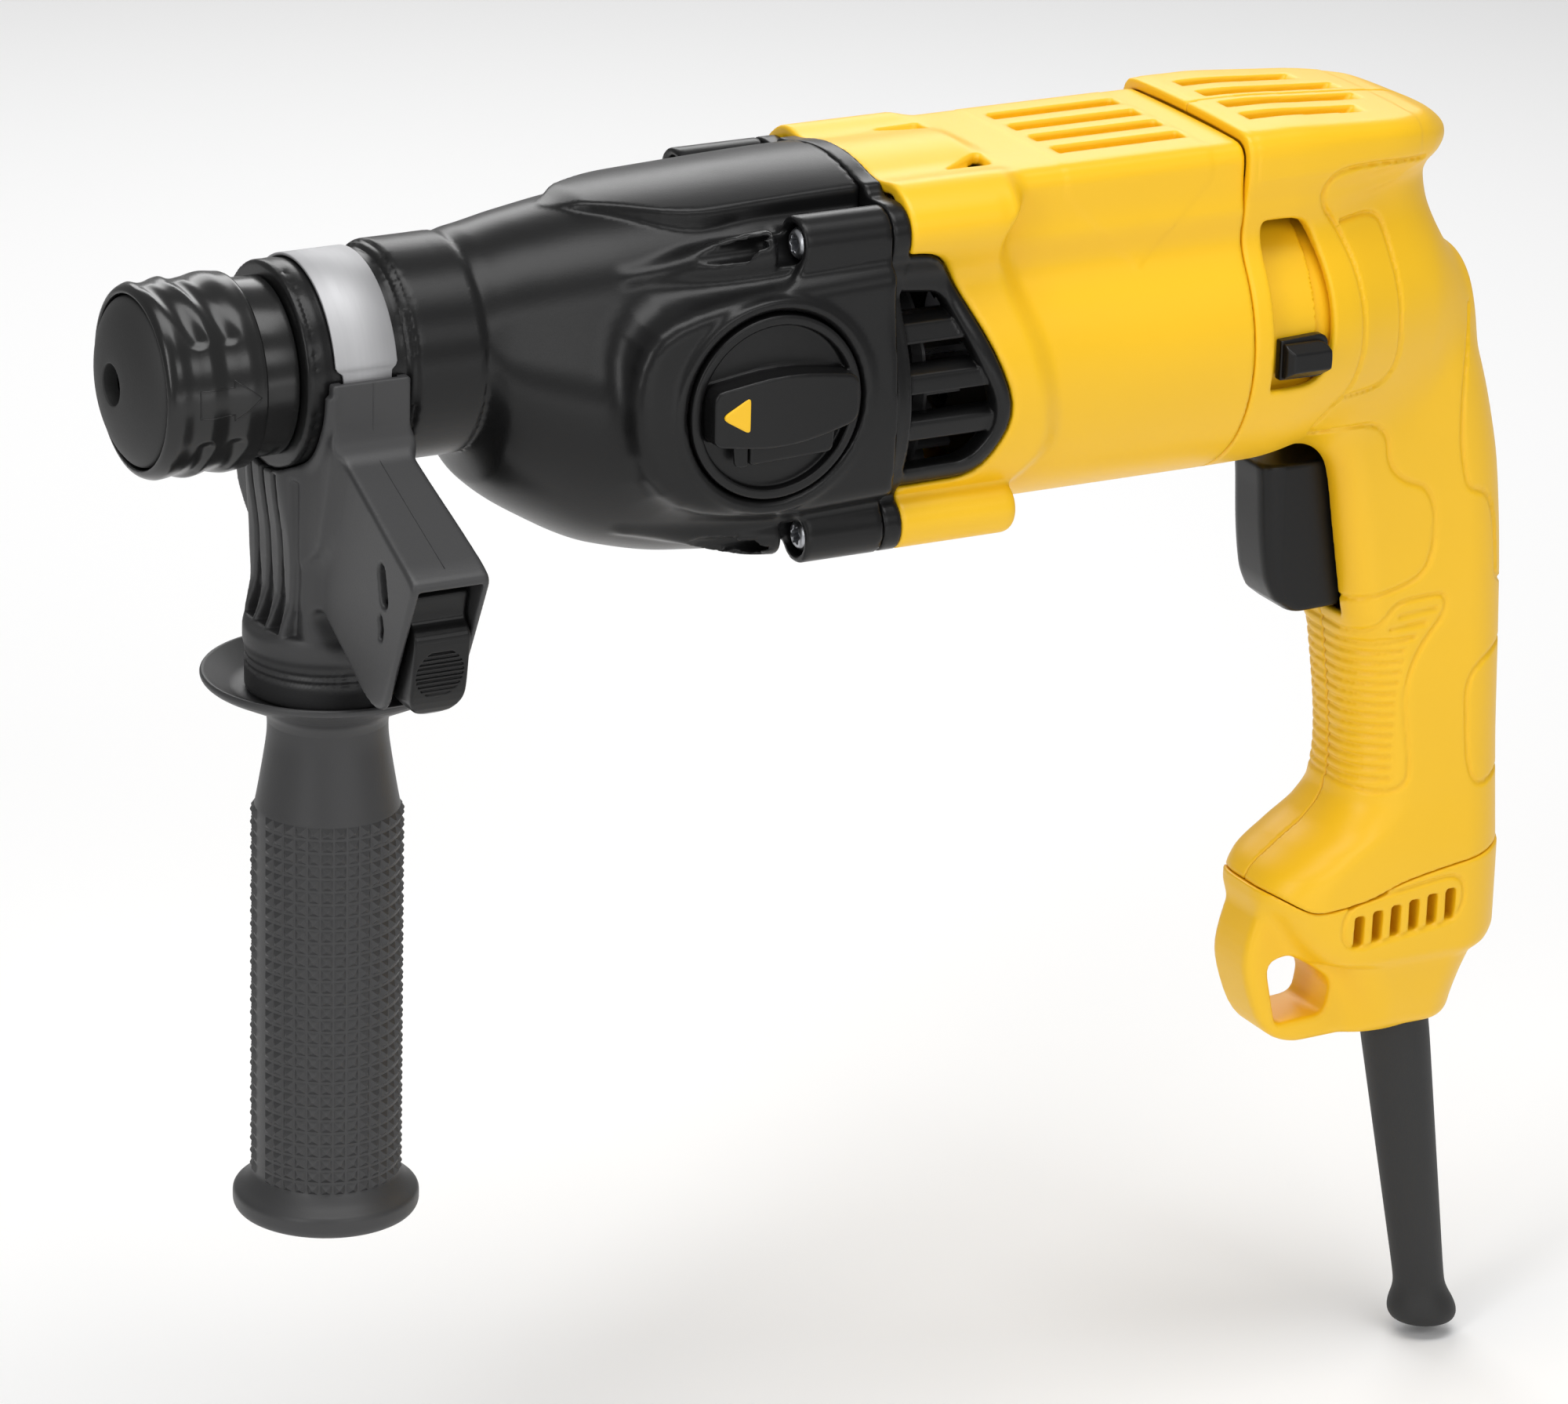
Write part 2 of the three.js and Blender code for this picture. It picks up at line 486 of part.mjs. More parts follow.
function fieldStator() {
  const tube = ringAlongX(160.5, 205, 20.6, 32.6, { z: MOTOR_Z, sides: 24 });
  const flats = [block(158, 208, -40, 40, 9.5, 40), block(158, 208, -40, 40, -80, -44.7)];
  add('field_stator', flats.reduce((body, cut) => body.subtract(cut), tube), DARK_STEEL);
}

function brushGear() {
  const ring = ringAlongX(232.4, 236.4, 13, 25, { z: MOTOR_Z });
  const arm = block(232.4, 236.4, -31.4, -20, MOTOR_Z - 5, MOTOR_Z + 3);
  add('brush_ring', ring.add(arm), BLACK);
  const stem = block(228.6, 239, -35.2, -31.7, -24.4, -15.4);
  const pad = block(227.2, 238.6, -38.4, -35, -23.8, -16);
  add('reverse_lever', union(stem, pad), BLACK);
  for (const [name, side] of [['left', -1], ['right', 1]]) {
    const reach = (from, to) => (side < 0 ? [-to, -from] : [from, to]);
    const shell = block(217.6, 232.1, ...reach(12.6, 23.4), MOTOR_Z - 5, MOTOR_Z + 5);
    const bore = block(219.2, 228.8, ...reach(11, 25), MOTOR_Z - 3.4, MOTOR_Z + 3.4);
    add(`brush_holder_${name}`, shell.subtract(bore), finish(0x9a7b3c, 0.4, 1));
    add(`carbon_brush_${name}`, block(219.5, 228.5, ...reach(11.3, 21), MOTOR_Z - 3.1, MOTOR_Z + 3.1), CARBON);
  }
}

// ---- rear handle --------------------------------------------------------------
// Barrel end, overhanging tail, neck, grip and foot, each the hull of a few sections.
function handleForm(inset) {
  const i = inset;
  const slice = (z, front, rear, half) => sliceAtZ(z, front + i, rear - i, half - i);
  const joint = SHELL_REAR + GAP - (i ? 3 : 0);
  const barrel = hull(barrelRing(joint, i), barrelRing(238, i, 35, TOP_Z, 22.6), slice(-46, 244, 293, 20),
    slice(2, 262, 281, 19));
  const tail = hull(barrelRing(joint, i, 20), slice(31.4 - i, 221, 276, 23), slice(27, 221, 283.6, 26.6),
    slice(23 + i, 221, 283.6, 26.4), slice(15, 221, 279.4, 22), slice(8, 230, 277, 20));
  const neck = hull(slice(8, 240, 280.2, 19.4), slice(-4, 250, 284.4, 19.2), slice(-16, 250, 291.6, 19),
    slice(-32, 250, 299.2, 18.8), slice(-48, 258, 303.4, 18.6));
  const upper = hull(slice(-44, 258, 302, 18.8), slice(-62, 262.6, 305.8, 18.4), slice(-84, 262.8, 308, 18),
    slice(-104, 263.6, 309.2, 17.4), slice(-130, 266.6, 310.2, 17.2));
  const lower = hull(slice(-128, 266.8, 310.2, 17.2), slice(-142, 266.6, 310.8, 17.6), slice(-150, 262.4, 311.2, 18),
    slice(BASE_TOP, 254, 311.8, 18.6));
  const lip = hull(slice(-149.6, 263, 300, 18), slice(-156, 252, 300, 18.4), slice(-161, 246, 300, 18.6),
    slice(BASE_TOP, 244.6, 300, 18.6));
  return union(barrel, tail, neck, upper, lower, lip);
}

function handleHalves() {
  const shell = handleForm(0).subtract(handleForm(WALL))
    .subtract(block(200, 340, -60, 60, -260, BASE_TOP + GAP / 2));
  const triggerGate = block(236, 269, -9.6, 9.6, -94.6, -50);
  const topVents = [-15, -5, 5, 15].map((y) => block(226, 262, y - 1.8, y + 1.8, 26, 40));
  const window = block(225, 242.6, -50, -20, -27.4, 10.6);
  const seat = ringAlongX(239.6, 247.4, 9.8, 13, { z: MOTOR_Z, sides: 24 });
  const web = plateAlongX([[-30, MOTOR_Z - 3], [30, MOTOR_Z - 3], [30, MOTOR_Z + 3], [-30, MOTOR_Z + 3]], 242, 245)
    .subtract(rodAlongX(239, 248, 11, { z: MOTOR_Z }));
  const carrier = union(seat, web);
  const bosses = union(...HANDLE_SCREWS.map(([x, z]) => rodAlongY(-17, 17, 4.2, x, z, 16)));
  const bored = HANDLE_SCREWS.map(([x, z]) => rodAlongY(-11.5, 30, 1.9, x, z, 10));
  const heads = HANDLE_SCREWS.map(([x, z]) => rodAlongY(12, 30, 3.6, x, z, 16));
  const whole = [triggerGate, ...topVents, window, ...bored, ...heads]
    .reduce((body, cut) => body.subtract(cut), union(shell, carrier, bosses.intersect(handleForm(0.5))));
  const split = GAP / 2;
  add('handle_left', whole.intersect(block(200, 340, -60, -split, -260, 60)), YELLOW);
  add('handle_right', whole.intersect(block(200, 340, split, 60, -260, 60)), YELLOW);
  HANDLE_SCREWS.forEach(([x, z], i) => {
    const geometry = new THREE.LatheGeometry([[0, -10.8], [1.6, -10.8], [1.6, 12.2], [3.3, 12.3], [3.3, 14.4],
      [0, 14.4]].map(([r, y]) => new THREE.Vector2(r, y)), 14);
    add(`handle_screw_${i + 1}`, solid(geometry.translate(x, 0, z)), DARK_STEEL);
  });
}

const HANDLE_SCREWS = [[272, 10], [301, -62], [290, -140]];

// Foot of the handle: cord inlet, vents and the lanyard loop.
function handleBase() {
  const top = BASE_TOP - GAP / 2;
  const tier = (i) => hull(sliceAtZ(top + (i ? 1 : 0), 248 + i, 311.8 - i, 18.6 - i),
    sliceAtZ(-181, 258 + i, 311.8 - i, 18.4 - i), sliceAtZ(-185.4, 262 + i, 308 - i, 16 - i));
  const root = (i) => hull(sliceAtZ(-180, 264 + i, 307 - i, 16 - i), sliceAtZ(-186, 264 + i, 306.6 - i, 16 - i),
    sliceAtZ(-203, 268 + i, 302.6 - i, 13.4 - i), sliceAtZ(-205.2 + i, 270 + i, 300.6 - i, 11.6 - i));
  const body = (i) => tier(i).add(root(i));
  const step = hull(sliceAtZ(top, 244.6, 290, 18.6), sliceAtZ(-168, 243.6, 290, 18.8), sliceAtZ(-172.6, 246.6, 290, 18));
  const loop = plateAlongY([[247, -168, 3], [241.6, -180, 5], [242, -188, 6], [248, -202.4, 4], [254, -205.4, 3],
    [282, -205.2, 2], [282, -168, 2]], -8.5, 8.5);
  const hole = plateAlongY([[247.4, -182.6, 3], [254, -182.4, 2], [266.2, -191, 3], [264.6, -199.4, 3],
    [250.4, -200, 3]], -30, 30);
  const inlet = hull(sliceAtZ(-215, 280.2, 300.8, 9.6), sliceAtZ(-194, 277.4, 298, 9.6));
  const vents = Array.from({ length: 6 }, (_, k) => block(265 + k * 5, 267.6 + k * 5, -30, -8, -177, -169));
  const cuts = [hole, inlet, ...vents];
  const foot = union(body(0), step, loop).subtract(body(WALL)).subtract(
    sliceBlock(-166, BASE_TOP + 2, 249, 308.8, 15.6));
  add('handle_base', cuts.reduce((rest, cut) => rest.subtract(cut), foot), YELLOW);
}

function sliceBlock(z0, z1, front, rear, half) {
  return hull(sliceAtZ(z0, front, rear, half), sliceAtZ(z1, front, rear, half));
}

function cordSleeve() {
  const lean = (z) => 289.6 + (-205 - z) * 0.161;
  const round = (z, radius) => sliceAtZ(z, lean(z) - radius, lean(z) + radius, radius, radius * 0.98);
  const body = hull(round(-196, 8.7), round(-212, 8.6), round(-280, 6.35));
  const end = hull(round(-279, 6.35), round(-284.6, 7.8), round(-288, 8.8), round(-290.6, 8.2));
  const bore = hull(round(-190, 3.6), round(-298, 3.6));
  add('cord_sleeve', union(body, end).subtract(bore), RUBBER);
}

function triggerAndSwitch() {
  const face = plateAlongY([[240.4, -56.4, 3], [241.6, -72, 12], [245.4, -90, 4], [250, -93, 4], [262, -93, 1],
    [262, -56.4, 1]], -8.8, 8.8);
  const hollow = block(248, 263, -6.6, 6.6, -90, -59);
  const stem = block(244, 270, -3, 3, -78, -70);
  add('trigger', face.subtract(hollow).add(stem), BLACK);
  add('switch_body', block(276.8, 300, -11, 11, -98, -68), GREY);
}

// ---- side handle --------------------------------------------------------------
function sideHandleBracket() {
  const saddle = plateAlongX([[-26.2, 2, 1], [-26.2, -16, 1], [-18, -40, 8], [18, -40, 8], [26.2, -16, 1], [26.2, 2, 1]],
    -10.2, 8.6);
  const neck = hull(sliceAtZ(-22, -18.5, 14, 15), sliceAtZ(-42, -16, 14, 15), sliceAtZ(-52, -15.4, 14, 14.4));
  const flare = hull(sliceAtZ(-50, -15.4, 14, 14.4), sliceAtZ(-62, -17, 17, 16.4), sliceAtZ(-66, -18.4, 18.4, 18.4));
  const base = turnedUpright([[-77.2, 0], [-77.2, 17], [-75, 18.8], [-63, 18.8], [-62, 17.6], [-62, 0]], { x: GRIP_X });
  const arm = plateAlongX([[-22, -11.6, 1], [-26, -13.4, 1], [-62.4, -29, 3], [-66.6, -32, 3], [-50.6, -65.6, 4],
    [-43, -66, 5], [-12, -50, 2], [-12, -20, 2]], -8.4, 8.4);
  const leverRoom = plateAlongX([[-70, -31.6], [-54, -31.6], [-43.6, -60], [-43.6, -70], [-58, -70]], -6.4, 6.4);
  const rodHole = rodAlongX(-20, 20, 3.4, { y: -46.4, z: -37, sides: 16 });
  const whole = union(saddle, neck, flare, base, arm);
  const cuts = [
    rodAlongX(-20, 20, CLAMP_R + 0.4, { sides: 28 }),
    block(-8.7, 6.7, -24.4, 24.4, -34, 10),
    turnedUpright([[-90, 0], [-90, 4.5], [-20, 4.5], [-20, 0]], { x: GRIP_X, sides: 16 }),
    rodAlongX(9.2, 30, COLLAR_R + 1),
    leverRoom, rodHole, block(-30, 30, -60, 60, 2, 40),
  ];
  add('side_handle_bracket', cuts.reduce((body, cut) => body.subtract(cut), whole), GREY);
}

// A closed strap: half a ring over the collar, straight sides and a web for the bolt.
function strapForm(radius, foot, x0, x1) {
  const legs = block(x0, x1, -radius, radius, foot, 0);
  return legs.add(rodAlongX(x0, x1, radius, { sides: 36 }));
}

function clampBand() {
  const strap = strapForm(CLAMP_R + 1.05, -33, -8.4, 6.4).subtract(strapForm(CLAMP_R + 0.3, -31.6, -12, 10));
  const hole = turnedUpright([[-40, 0], [-40, 4.4], [-28, 4.4], [-28, 0]], { x: GRIP_X });
  add('clamp_band', strap.subtract(hole), STEEL);
  const bolt = turnedUpright([[-112, 0], [-112, 3.6], [-110.8, 4], [-31.3, 4], [-31.3, 5.6], [-26.6, 5.6], [-26.6, 0]],
    { x: GRIP_X, sides: 16 });
  add('clamp_bolt', bolt, STEEL);
}

function sideGrip() {
  const profile = [[GRIP_END, 0], [GRIP_END, 20.4], [-203, 21.4], [-199.4, 21.4], [-197.6, 18.4], [-195, 17],
    [-106, 17], [-103, 16], [-96, 14.8], [-88, 13.6], [-82.6, 13.8], [-79.6, 20], [-75.6, 28], [-74.2, 29],
    [-73, 28.4], [-77.6, 21], [-77.6, 4.4], [-114, 4.4], [-114, 0]];
  add('side_grip', turnedUpright(profile, { x: GRIP_X, sides: 24 }), GREY);
}

function depthStopButton() {
  const body = plateAlongX([[-56.8, -33.4, 1], [-64, -35.4, 2], [-61, -46, 4], [-60.8, -60, 5], [-54, -66.4, 4],
    [-47.4, -62, 2]], -6, 6);
  add('depth_stop_button', body, BLACK);
}

for (const make of [dustCap, lockingSleeve, chuckCollar, lockingBalls, sleeveSpring, spindle, flyingMasses, piston,
  spindleDrive, intermediateShaft, wobbleRing, shiftFork, gearCase, caseScrews, bearings, modeKnob, innerHousing,
  motorHousing, armature, fieldStator, brushGear, handleHalves, handleBase, cordSleeve, triggerAndSwitch,
  sideHandleBracket, clampBand, sideGrip, depthStopButton]) make();

export default hammer;
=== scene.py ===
"""Rotary hammer drill with its side handle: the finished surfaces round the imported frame."""
import json
import math
import bpy
import numpy as np
from mathutils import Matrix, Vector


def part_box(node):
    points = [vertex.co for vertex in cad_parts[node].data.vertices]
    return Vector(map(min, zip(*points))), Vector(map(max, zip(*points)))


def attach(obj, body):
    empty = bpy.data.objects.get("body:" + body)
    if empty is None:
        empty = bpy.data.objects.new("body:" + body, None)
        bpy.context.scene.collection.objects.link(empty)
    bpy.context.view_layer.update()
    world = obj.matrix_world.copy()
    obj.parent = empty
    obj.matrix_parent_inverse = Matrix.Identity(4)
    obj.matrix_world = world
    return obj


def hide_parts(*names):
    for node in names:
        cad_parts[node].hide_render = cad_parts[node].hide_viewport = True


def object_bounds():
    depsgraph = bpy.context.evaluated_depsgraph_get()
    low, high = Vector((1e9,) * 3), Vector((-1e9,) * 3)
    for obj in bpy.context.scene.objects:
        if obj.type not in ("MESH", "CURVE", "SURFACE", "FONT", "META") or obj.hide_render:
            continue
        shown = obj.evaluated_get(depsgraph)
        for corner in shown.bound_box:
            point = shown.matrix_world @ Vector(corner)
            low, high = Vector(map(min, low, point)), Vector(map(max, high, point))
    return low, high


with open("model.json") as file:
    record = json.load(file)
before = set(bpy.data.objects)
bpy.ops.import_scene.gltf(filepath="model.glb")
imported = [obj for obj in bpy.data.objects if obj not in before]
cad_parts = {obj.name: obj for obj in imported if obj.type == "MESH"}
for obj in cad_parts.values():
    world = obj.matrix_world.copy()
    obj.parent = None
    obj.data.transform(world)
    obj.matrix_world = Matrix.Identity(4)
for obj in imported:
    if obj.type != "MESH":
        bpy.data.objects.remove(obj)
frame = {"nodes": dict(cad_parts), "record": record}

cad_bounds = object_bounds()
scene = bpy.context.scene


# ---- Camera and studio ------------------------------------------------------
# A long lens looks down on the tool from its left front. The tool hangs over a pale floor
# between soft boxes: a large one above, strips at both sides and a low one for the dark housings.
def turned_to(back, roll=0.0):
    """The rotation of a camera or lamp whose back points along a direction, as a matrix."""
    back = Vector(back).normalized()
    right = Vector((0, 0, 1)).cross(back).normalized()
    up = back.cross(right)
    level = right * math.cos(roll) + up * math.sin(roll)
    return Matrix((level, back.cross(level), back)).transposed().to_4x4()


def make_camera():
    azimuth, elevation, roll = map(math.radians, (-28.29, 20.12, 1.44))
    looked_at, distance = Vector((0.0843, -0.0611, -0.0736)), 1.7456
    back = Vector((math.sin(azimuth) * math.cos(elevation), -math.cos(azimuth) * math.cos(elevation),
                   math.sin(elevation)))
    camera = bpy.data.objects.new("camera", bpy.data.cameras.new("camera"))
    camera.data.lens, camera.data.sensor_width = 180, 36
    camera.data.clip_start, camera.data.clip_end = 0.05, 50
    camera.matrix_world = Matrix.Translation(looked_at + back * distance) @ turned_to(back, roll)
    scene.collection.objects.link(camera)
    scene.camera = camera


def soft_box(name, place, size, power, centre=(0.13, 0, -0.08)):
    lamp = bpy.data.lights.new(name, "AREA")
    lamp.shape, lamp.size, lamp.size_y, lamp.energy = "RECTANGLE", size[0], size[1], power
    box = bpy.data.objects.new(name, lamp)
    box.matrix_world = Matrix.Translation(place) @ turned_to(Vector(place) - Vector(centre))
    scene.collection.objects.link(box)


def make_studio():
    low = cad_bounds[0].z - 0.004
    half = 6.0
    mesh = bpy.data.meshes.new("floor")
    mesh.from_pydata([(-half, -half, low), (half, -half, low), (half, half, low), (-half, half, low)], [],
                     [(0, 1, 2, 3)])
    floor = bpy.data.objects.new("floor", mesh)
    paint = bpy.data.materials.new("pale floor")
    paint.use_nodes = True
    surface = paint.node_tree.nodes["Principled BSDF"]
    surface.inputs["Base Color"].default_value = (0.95, 0.95, 0.95, 1)
    surface.inputs["Roughness"].default_value = 0.9
    surface.inputs["Specular IOR Level"].default_value = 0.1
    mesh.materials.append(paint)
    scene.collection.objects.link(floor)
    world = bpy.data.worlds.new("studio")
    world.use_nodes = True
    world.node_tree.nodes["Background"].inputs["Color"].default_value = (1, 1, 1, 1)
    world.node_tree.nodes["Background"].inputs["Strength"].default_value = 0.32
    scene.world = world
    soft_box("overhead", (0.05, -0.25, 1.25), (1.3, 0.7), 13)
    soft_box("left strip", (-1.2, -0.75, 0.55), (0.35, 1.1), 6)
    soft_box("front", (0.25, -1.5, 0.75), (1.1, 0.45), 5)
    soft_box("low front", (0.1, -1.1, -0.12), (1.2, 0.12), 1.2)
    soft_box("rear", (0.6, 1.2, 0.7), (1.2, 0.6), 8)
    scene.view_settings.view_transform = "Standard"


make_camera()
make_studio()


# ---- Motor housing ----------------------------------------------------------
# One glass-filled nylon moulding round the motor, open at both ends. Its front flange carries
# the four case screws; a step in an S curve leads down to the barrel, and slots let air in.
MM = 0.001


def span(node):
    """A node's lowest and highest corner in millimetres."""
    low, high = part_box(node)
    return np.array(low) / MM, np.array(high) / MM


def join(a, b, soft=0.0):
    """Distance to two shapes together, with a fillet of about that size where they meet."""
    if soft == 0:
        return np.minimum(a, b)
    near = np.maximum(soft - np.abs(a - b), 0) / soft
    return np.minimum(a, b) - near * near * soft / 4


def meet(a, b, soft=0.0):
    """What two shapes have in common, with a rounded edge."""
    return -join(-a, -b, soft)


def cut(a, b, soft=0.0):
    """The first shape without the second."""
    return -join(-a, b, soft)


def through(knots, at):
    """A smooth curve through (place, value) knots that never overshoots, level beyond its ends."""
    places, values = np.array(knots, float).T
    gaps = np.diff(places)
    slopes = np.diff(values) / gaps
    before, after = slopes[:-1], slopes[1:]
    same_way = before * after > 0
    bends = np.zeros(len(places))
    bends[1:-1][same_way] = 2 * before[same_way] * after[same_way] / (before + after)[same_way]
    i = np.clip(np.searchsorted(places, at) - 1, 0, len(gaps) - 1)
    t = np.clip((at - places[i]) / gaps[i], 0, 1)
    rest = 1 - t
    return (values[i] * (1 + 2 * t) * rest**2 + values[i + 1] * t**2 * (3 - 2 * t)
            + gaps[i] * (bends[i] * t * rest**2 - bends[i + 1] * t**2 * rest))


def eased(corners, closed=True, steps=5):
    """A path's points, with each (u, v, rounding) corner turned into a short curve."""
    points = []
    count = len(corners)
    for i, corner in enumerate(corners):
        here = np.array(corner[:2], float)
        rounding = corner[2] if len(corner) > 2 else 0
        if rounding == 0 or (not closed and i in (0, count - 1)):
            points.append(here)
            continue
        sides = [np.array(corners[(i + k) % count][:2], float) - here for k in (-1, 1)]
        starts = [here + side * min(rounding / np.hypot(*side), 0.5) for side in sides]
        for t in np.linspace(0, 1, steps):
            points.append(starts[0] * (1 - t) ** 2 + here * 2 * t * (1 - t) + starts[1] * t**2)
    return points


def line_distance(u, v, points, closed=False):
    """Distance to a path of straight steps."""
    ends = points[1:] + points[:1] if closed else points[1:]
    nearest = np.inf
    for (u0, v0), (u1, v1) in zip(points, ends):
        du, dv = u1 - u0, v1 - v0
        t = np.clip(((u - u0) * du + (v - v0) * dv) / max(du * du + dv * dv, 1e-9), 0, 1)
        nearest = np.minimum(nearest, (u - u0 - t * du) ** 2 + (v - v0 - t * dv) ** 2)
    return np.sqrt(nearest)


def outline(u, v, corners):
    """Signed distance to a closed outline with rounded corners, negative inside."""
    points = eased(corners)
    inside = np.zeros(np.broadcast(u, v).shape, bool)
    for (u0, v0), (u1, v1) in zip(points, points[1:] + points[:1]):
        if v0 != v1:
            crossed = ((v0 > v) != (v1 > v)) & (u < (u1 - u0) * (v - v0) / (v1 - v0) + u0)
            inside ^= crossed
    return line_distance(u, v, points, closed=True) * np.where(inside, -1, 1)


def between(value, low, high):
    """Signed distance to a layer between two planes."""
    return np.maximum(low - value, value - high)


def groove(body, line, half_width):
    """The body with a round-bottomed groove along a line on its surface."""
    return cut(body, np.hypot(line, body) - half_width, half_width * 0.5)


def skin(field, low, high, step):
    """The surface on which a field of distances is zero, as vertices in metres and four-sided faces."""
    axes = [np.arange(a - 1.5 * step, b + 2.5 * step, step) for a, b in zip(low, high)]
    x, y, z = axes[0][:, None, None], axes[1][None, :, None], axes[2][None, None, :]
    shape = tuple(len(axis) for axis in axes)
    value = np.array(np.broadcast_to(field(x, y, z), shape), np.float32)
    solid = value < 0
    corner_shifts = [(i, j, k) for i in (0, 1) for j in (0, 1) for k in (0, 1)]
    filled = sum(solid[i:shape[0] - 1 + i, j:shape[1] - 1 + j, k:shape[2] - 1 + k].astype(np.int8)
                 for i, j, k in corner_shifts)
    cells = np.argwhere((filled > 0) & (filled < 8))
    number = np.full([n - 1 for n in shape], -1, np.int64)
    number[tuple(cells.T)] = np.arange(len(cells))
    at_corner = {shift: value[tuple((cells + shift).T)] for shift in corner_shifts}
    total, count = np.zeros((len(cells), 3)), np.zeros(len(cells))
    for start in corner_shifts:
        for axis in range(3):
            if start[axis]:
                continue
            end = tuple(1 if k == axis else start[k] for k in range(3))
            a, b = at_corner[start], at_corner[end]
            crossed = (a < 0) != (b < 0)
            share = a / np.where(crossed, a - b, 1)
            point = np.tile(np.array(start, float), (len(cells), 1))
            point[:, axis] = share
            total[crossed] += point[crossed]
            count += crossed
    points = np.array([axis[0] for axis in axes]) + (cells + total / count[:, None]) * step
    faces = []
    for axis in range(3):
        u, v = [k for k in range(3) if k != axis]
        here = np.moveaxis(solid, (axis, u, v), (0, 1, 2))
        cell = np.moveaxis(number, (axis, u, v), (0, 1, 2))
        a, b = here[:-1, 1:-1, 1:-1], here[1:, 1:-1, 1:-1]
        for leaving in (True, False):
            i, j, k = np.nonzero(a & ~b if leaving else ~a & b)
            ring = [cell[i, j, k], cell[i, j + 1, k], cell[i, j + 1, k + 1], cell[i, j, k + 1]]
            if leaving == (axis == 1):
                ring.reverse()
            faces.append(np.stack(ring, 1))
    return settled(field, points, step) * MM, np.concatenate(faces)


def settled(field, points, step):
    """The points moved along the field's slope on to its zero surface."""
    reach = 0.25 * step
    for _ in range(3):
        value = field(*points.T)
        slope = np.stack([field(*(points + shift).T) - field(*(points - shift).T)
                          for shift in np.eye(3) * reach], 1) / (2 * reach)
        size = np.maximum((slope**2).sum(1), 0.04)
        points = points - slope * np.clip(value / size, -0.5 * step, 0.5 * step)[:, None]
    return points


def piece(name, shell, finish, body, node=None, crease=None):
    """A finished piece from (vertices, faces), riding on a body; it stands for a node if one is given."""
    points, faces = shell
    mesh = bpy.data.meshes.new(name)
    if isinstance(faces, np.ndarray):
        mesh.vertices.add(len(points))
        mesh.vertices.foreach_set("co", np.asarray(points, np.float32).ravel())
        mesh.loops.add(faces.size)
        mesh.loops.foreach_set("vertex_index", faces.astype(np.int32).ravel())
        mesh.polygons.add(len(faces))
        mesh.polygons.foreach_set("loop_start", np.arange(0, faces.size, faces.shape[1], dtype=np.int32))
        mesh.update(calc_edges=True)
        mesh.validate()
    else:
        mesh.from_pydata([tuple(p) for p in points], [], faces)
    mesh.shade_smooth()
    if crease is not None:
        mesh.set_sharp_from_angle(angle=math.radians(crease))
    mesh.materials.append(finish)
    made = bpy.data.objects.new(name, mesh)
    scene.collection.objects.link(made)
    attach(made, body)
    if node:
        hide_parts(*([node] if isinstance(node, str) else node))
    return made


class Value:
    """A shader socket that can be used in sums."""

    def __init__(self, tree, socket):
        self.tree, self.socket = tree, socket

    def combine(self, operation, other, swapped=False):
        node = self.tree.nodes.new("ShaderNodeMath")
        node.operation = operation
        for place, side in zip(node.inputs, (other, self) if swapped else (self, other)):
            if isinstance(side, Value):
                self.tree.links.new(side.socket, place)
            else:
                place.default_value = side
        return Value(self.tree, node.outputs[0])

    def __add__(self, other):
        return self.combine("ADD", other)

    def __sub__(self, other):
        return self.combine("SUBTRACT", other)

    def __rsub__(self, other):
        return self.combine("SUBTRACT", other, swapped=True)

    def __mul__(self, other):
        return self.combine("MULTIPLY", other)

    __radd__, __rmul__ = __add__, __mul__


class Finish:
    """A material under construction."""

    def __init__(self, name):
        self.material = bpy.data.materials.new(name)
        self.material.use_nodes = True
        self.tree = self.material.node_tree
        self.tree.nodes.clear()
        self.place = self.node("ShaderNodeTexCoord", output="Object")

    def node(self, kind, settings=None, sockets=None, output=0):
        """Any node: its settings or a ramp's stops first, then values or links for its sockets."""
        node = self.tree.nodes.new(kind)
        for key, setting in (settings or {}).items():
            if key == "stops":
                stops = node.color_ramp.elements
                while len(stops) < len(setting):
                    stops.new(0.5)
                for stop, (position, colour) in zip(stops, setting):
                    stop.position, stop.color = position, colour
            else:
                setattr(node, key, setting)
        for key, given in (sockets or {}).items():
            if isinstance(given, Value):
                self.tree.links.new(given.socket, node.inputs[key])
            else:
                node.inputs[key].default_value = given
        return Value(self.tree, node.outputs[output])

    def noise(self, scale, detail=2.0, stretch=None):
        where = self.place
        if stretch:
            where = self.node("ShaderNodeVectorMath", {"operation": "MULTIPLY"}, {0: where, 1: stretch})
        return self.node("ShaderNodeTexNoise", {}, {"Vector": where, "Scale": scale, "Detail": detail})

    def blend(self, factor, first, second):
        mixer = {"data_type": "RGBA"}
        return self.node("ShaderNodeMix", mixer, {"Factor": factor, 6: (*first, 1), 7: (*second, 1)},
                         output=2)

    def bump(self, height, strength, distance, below=None):
        sockets = {"Height": height, "Strength": strength, "Distance": distance}
        if below is not None:
            sockets["Normal"] = below
        return self.node("ShaderNodeBump", {}, sockets)

    def surface(self, **sockets):
        """Closes the material with a surface whose sockets are named with underscores."""
        named = {key.replace("_", " "): given for key, given in sockets.items()}
        shader = self.node("ShaderNodeBsdfPrincipled", {}, named)
        target = self.tree.nodes.new("ShaderNodeOutputMaterial")
        self.tree.links.new(shader.socket, target.inputs["Surface"])
        return self.material


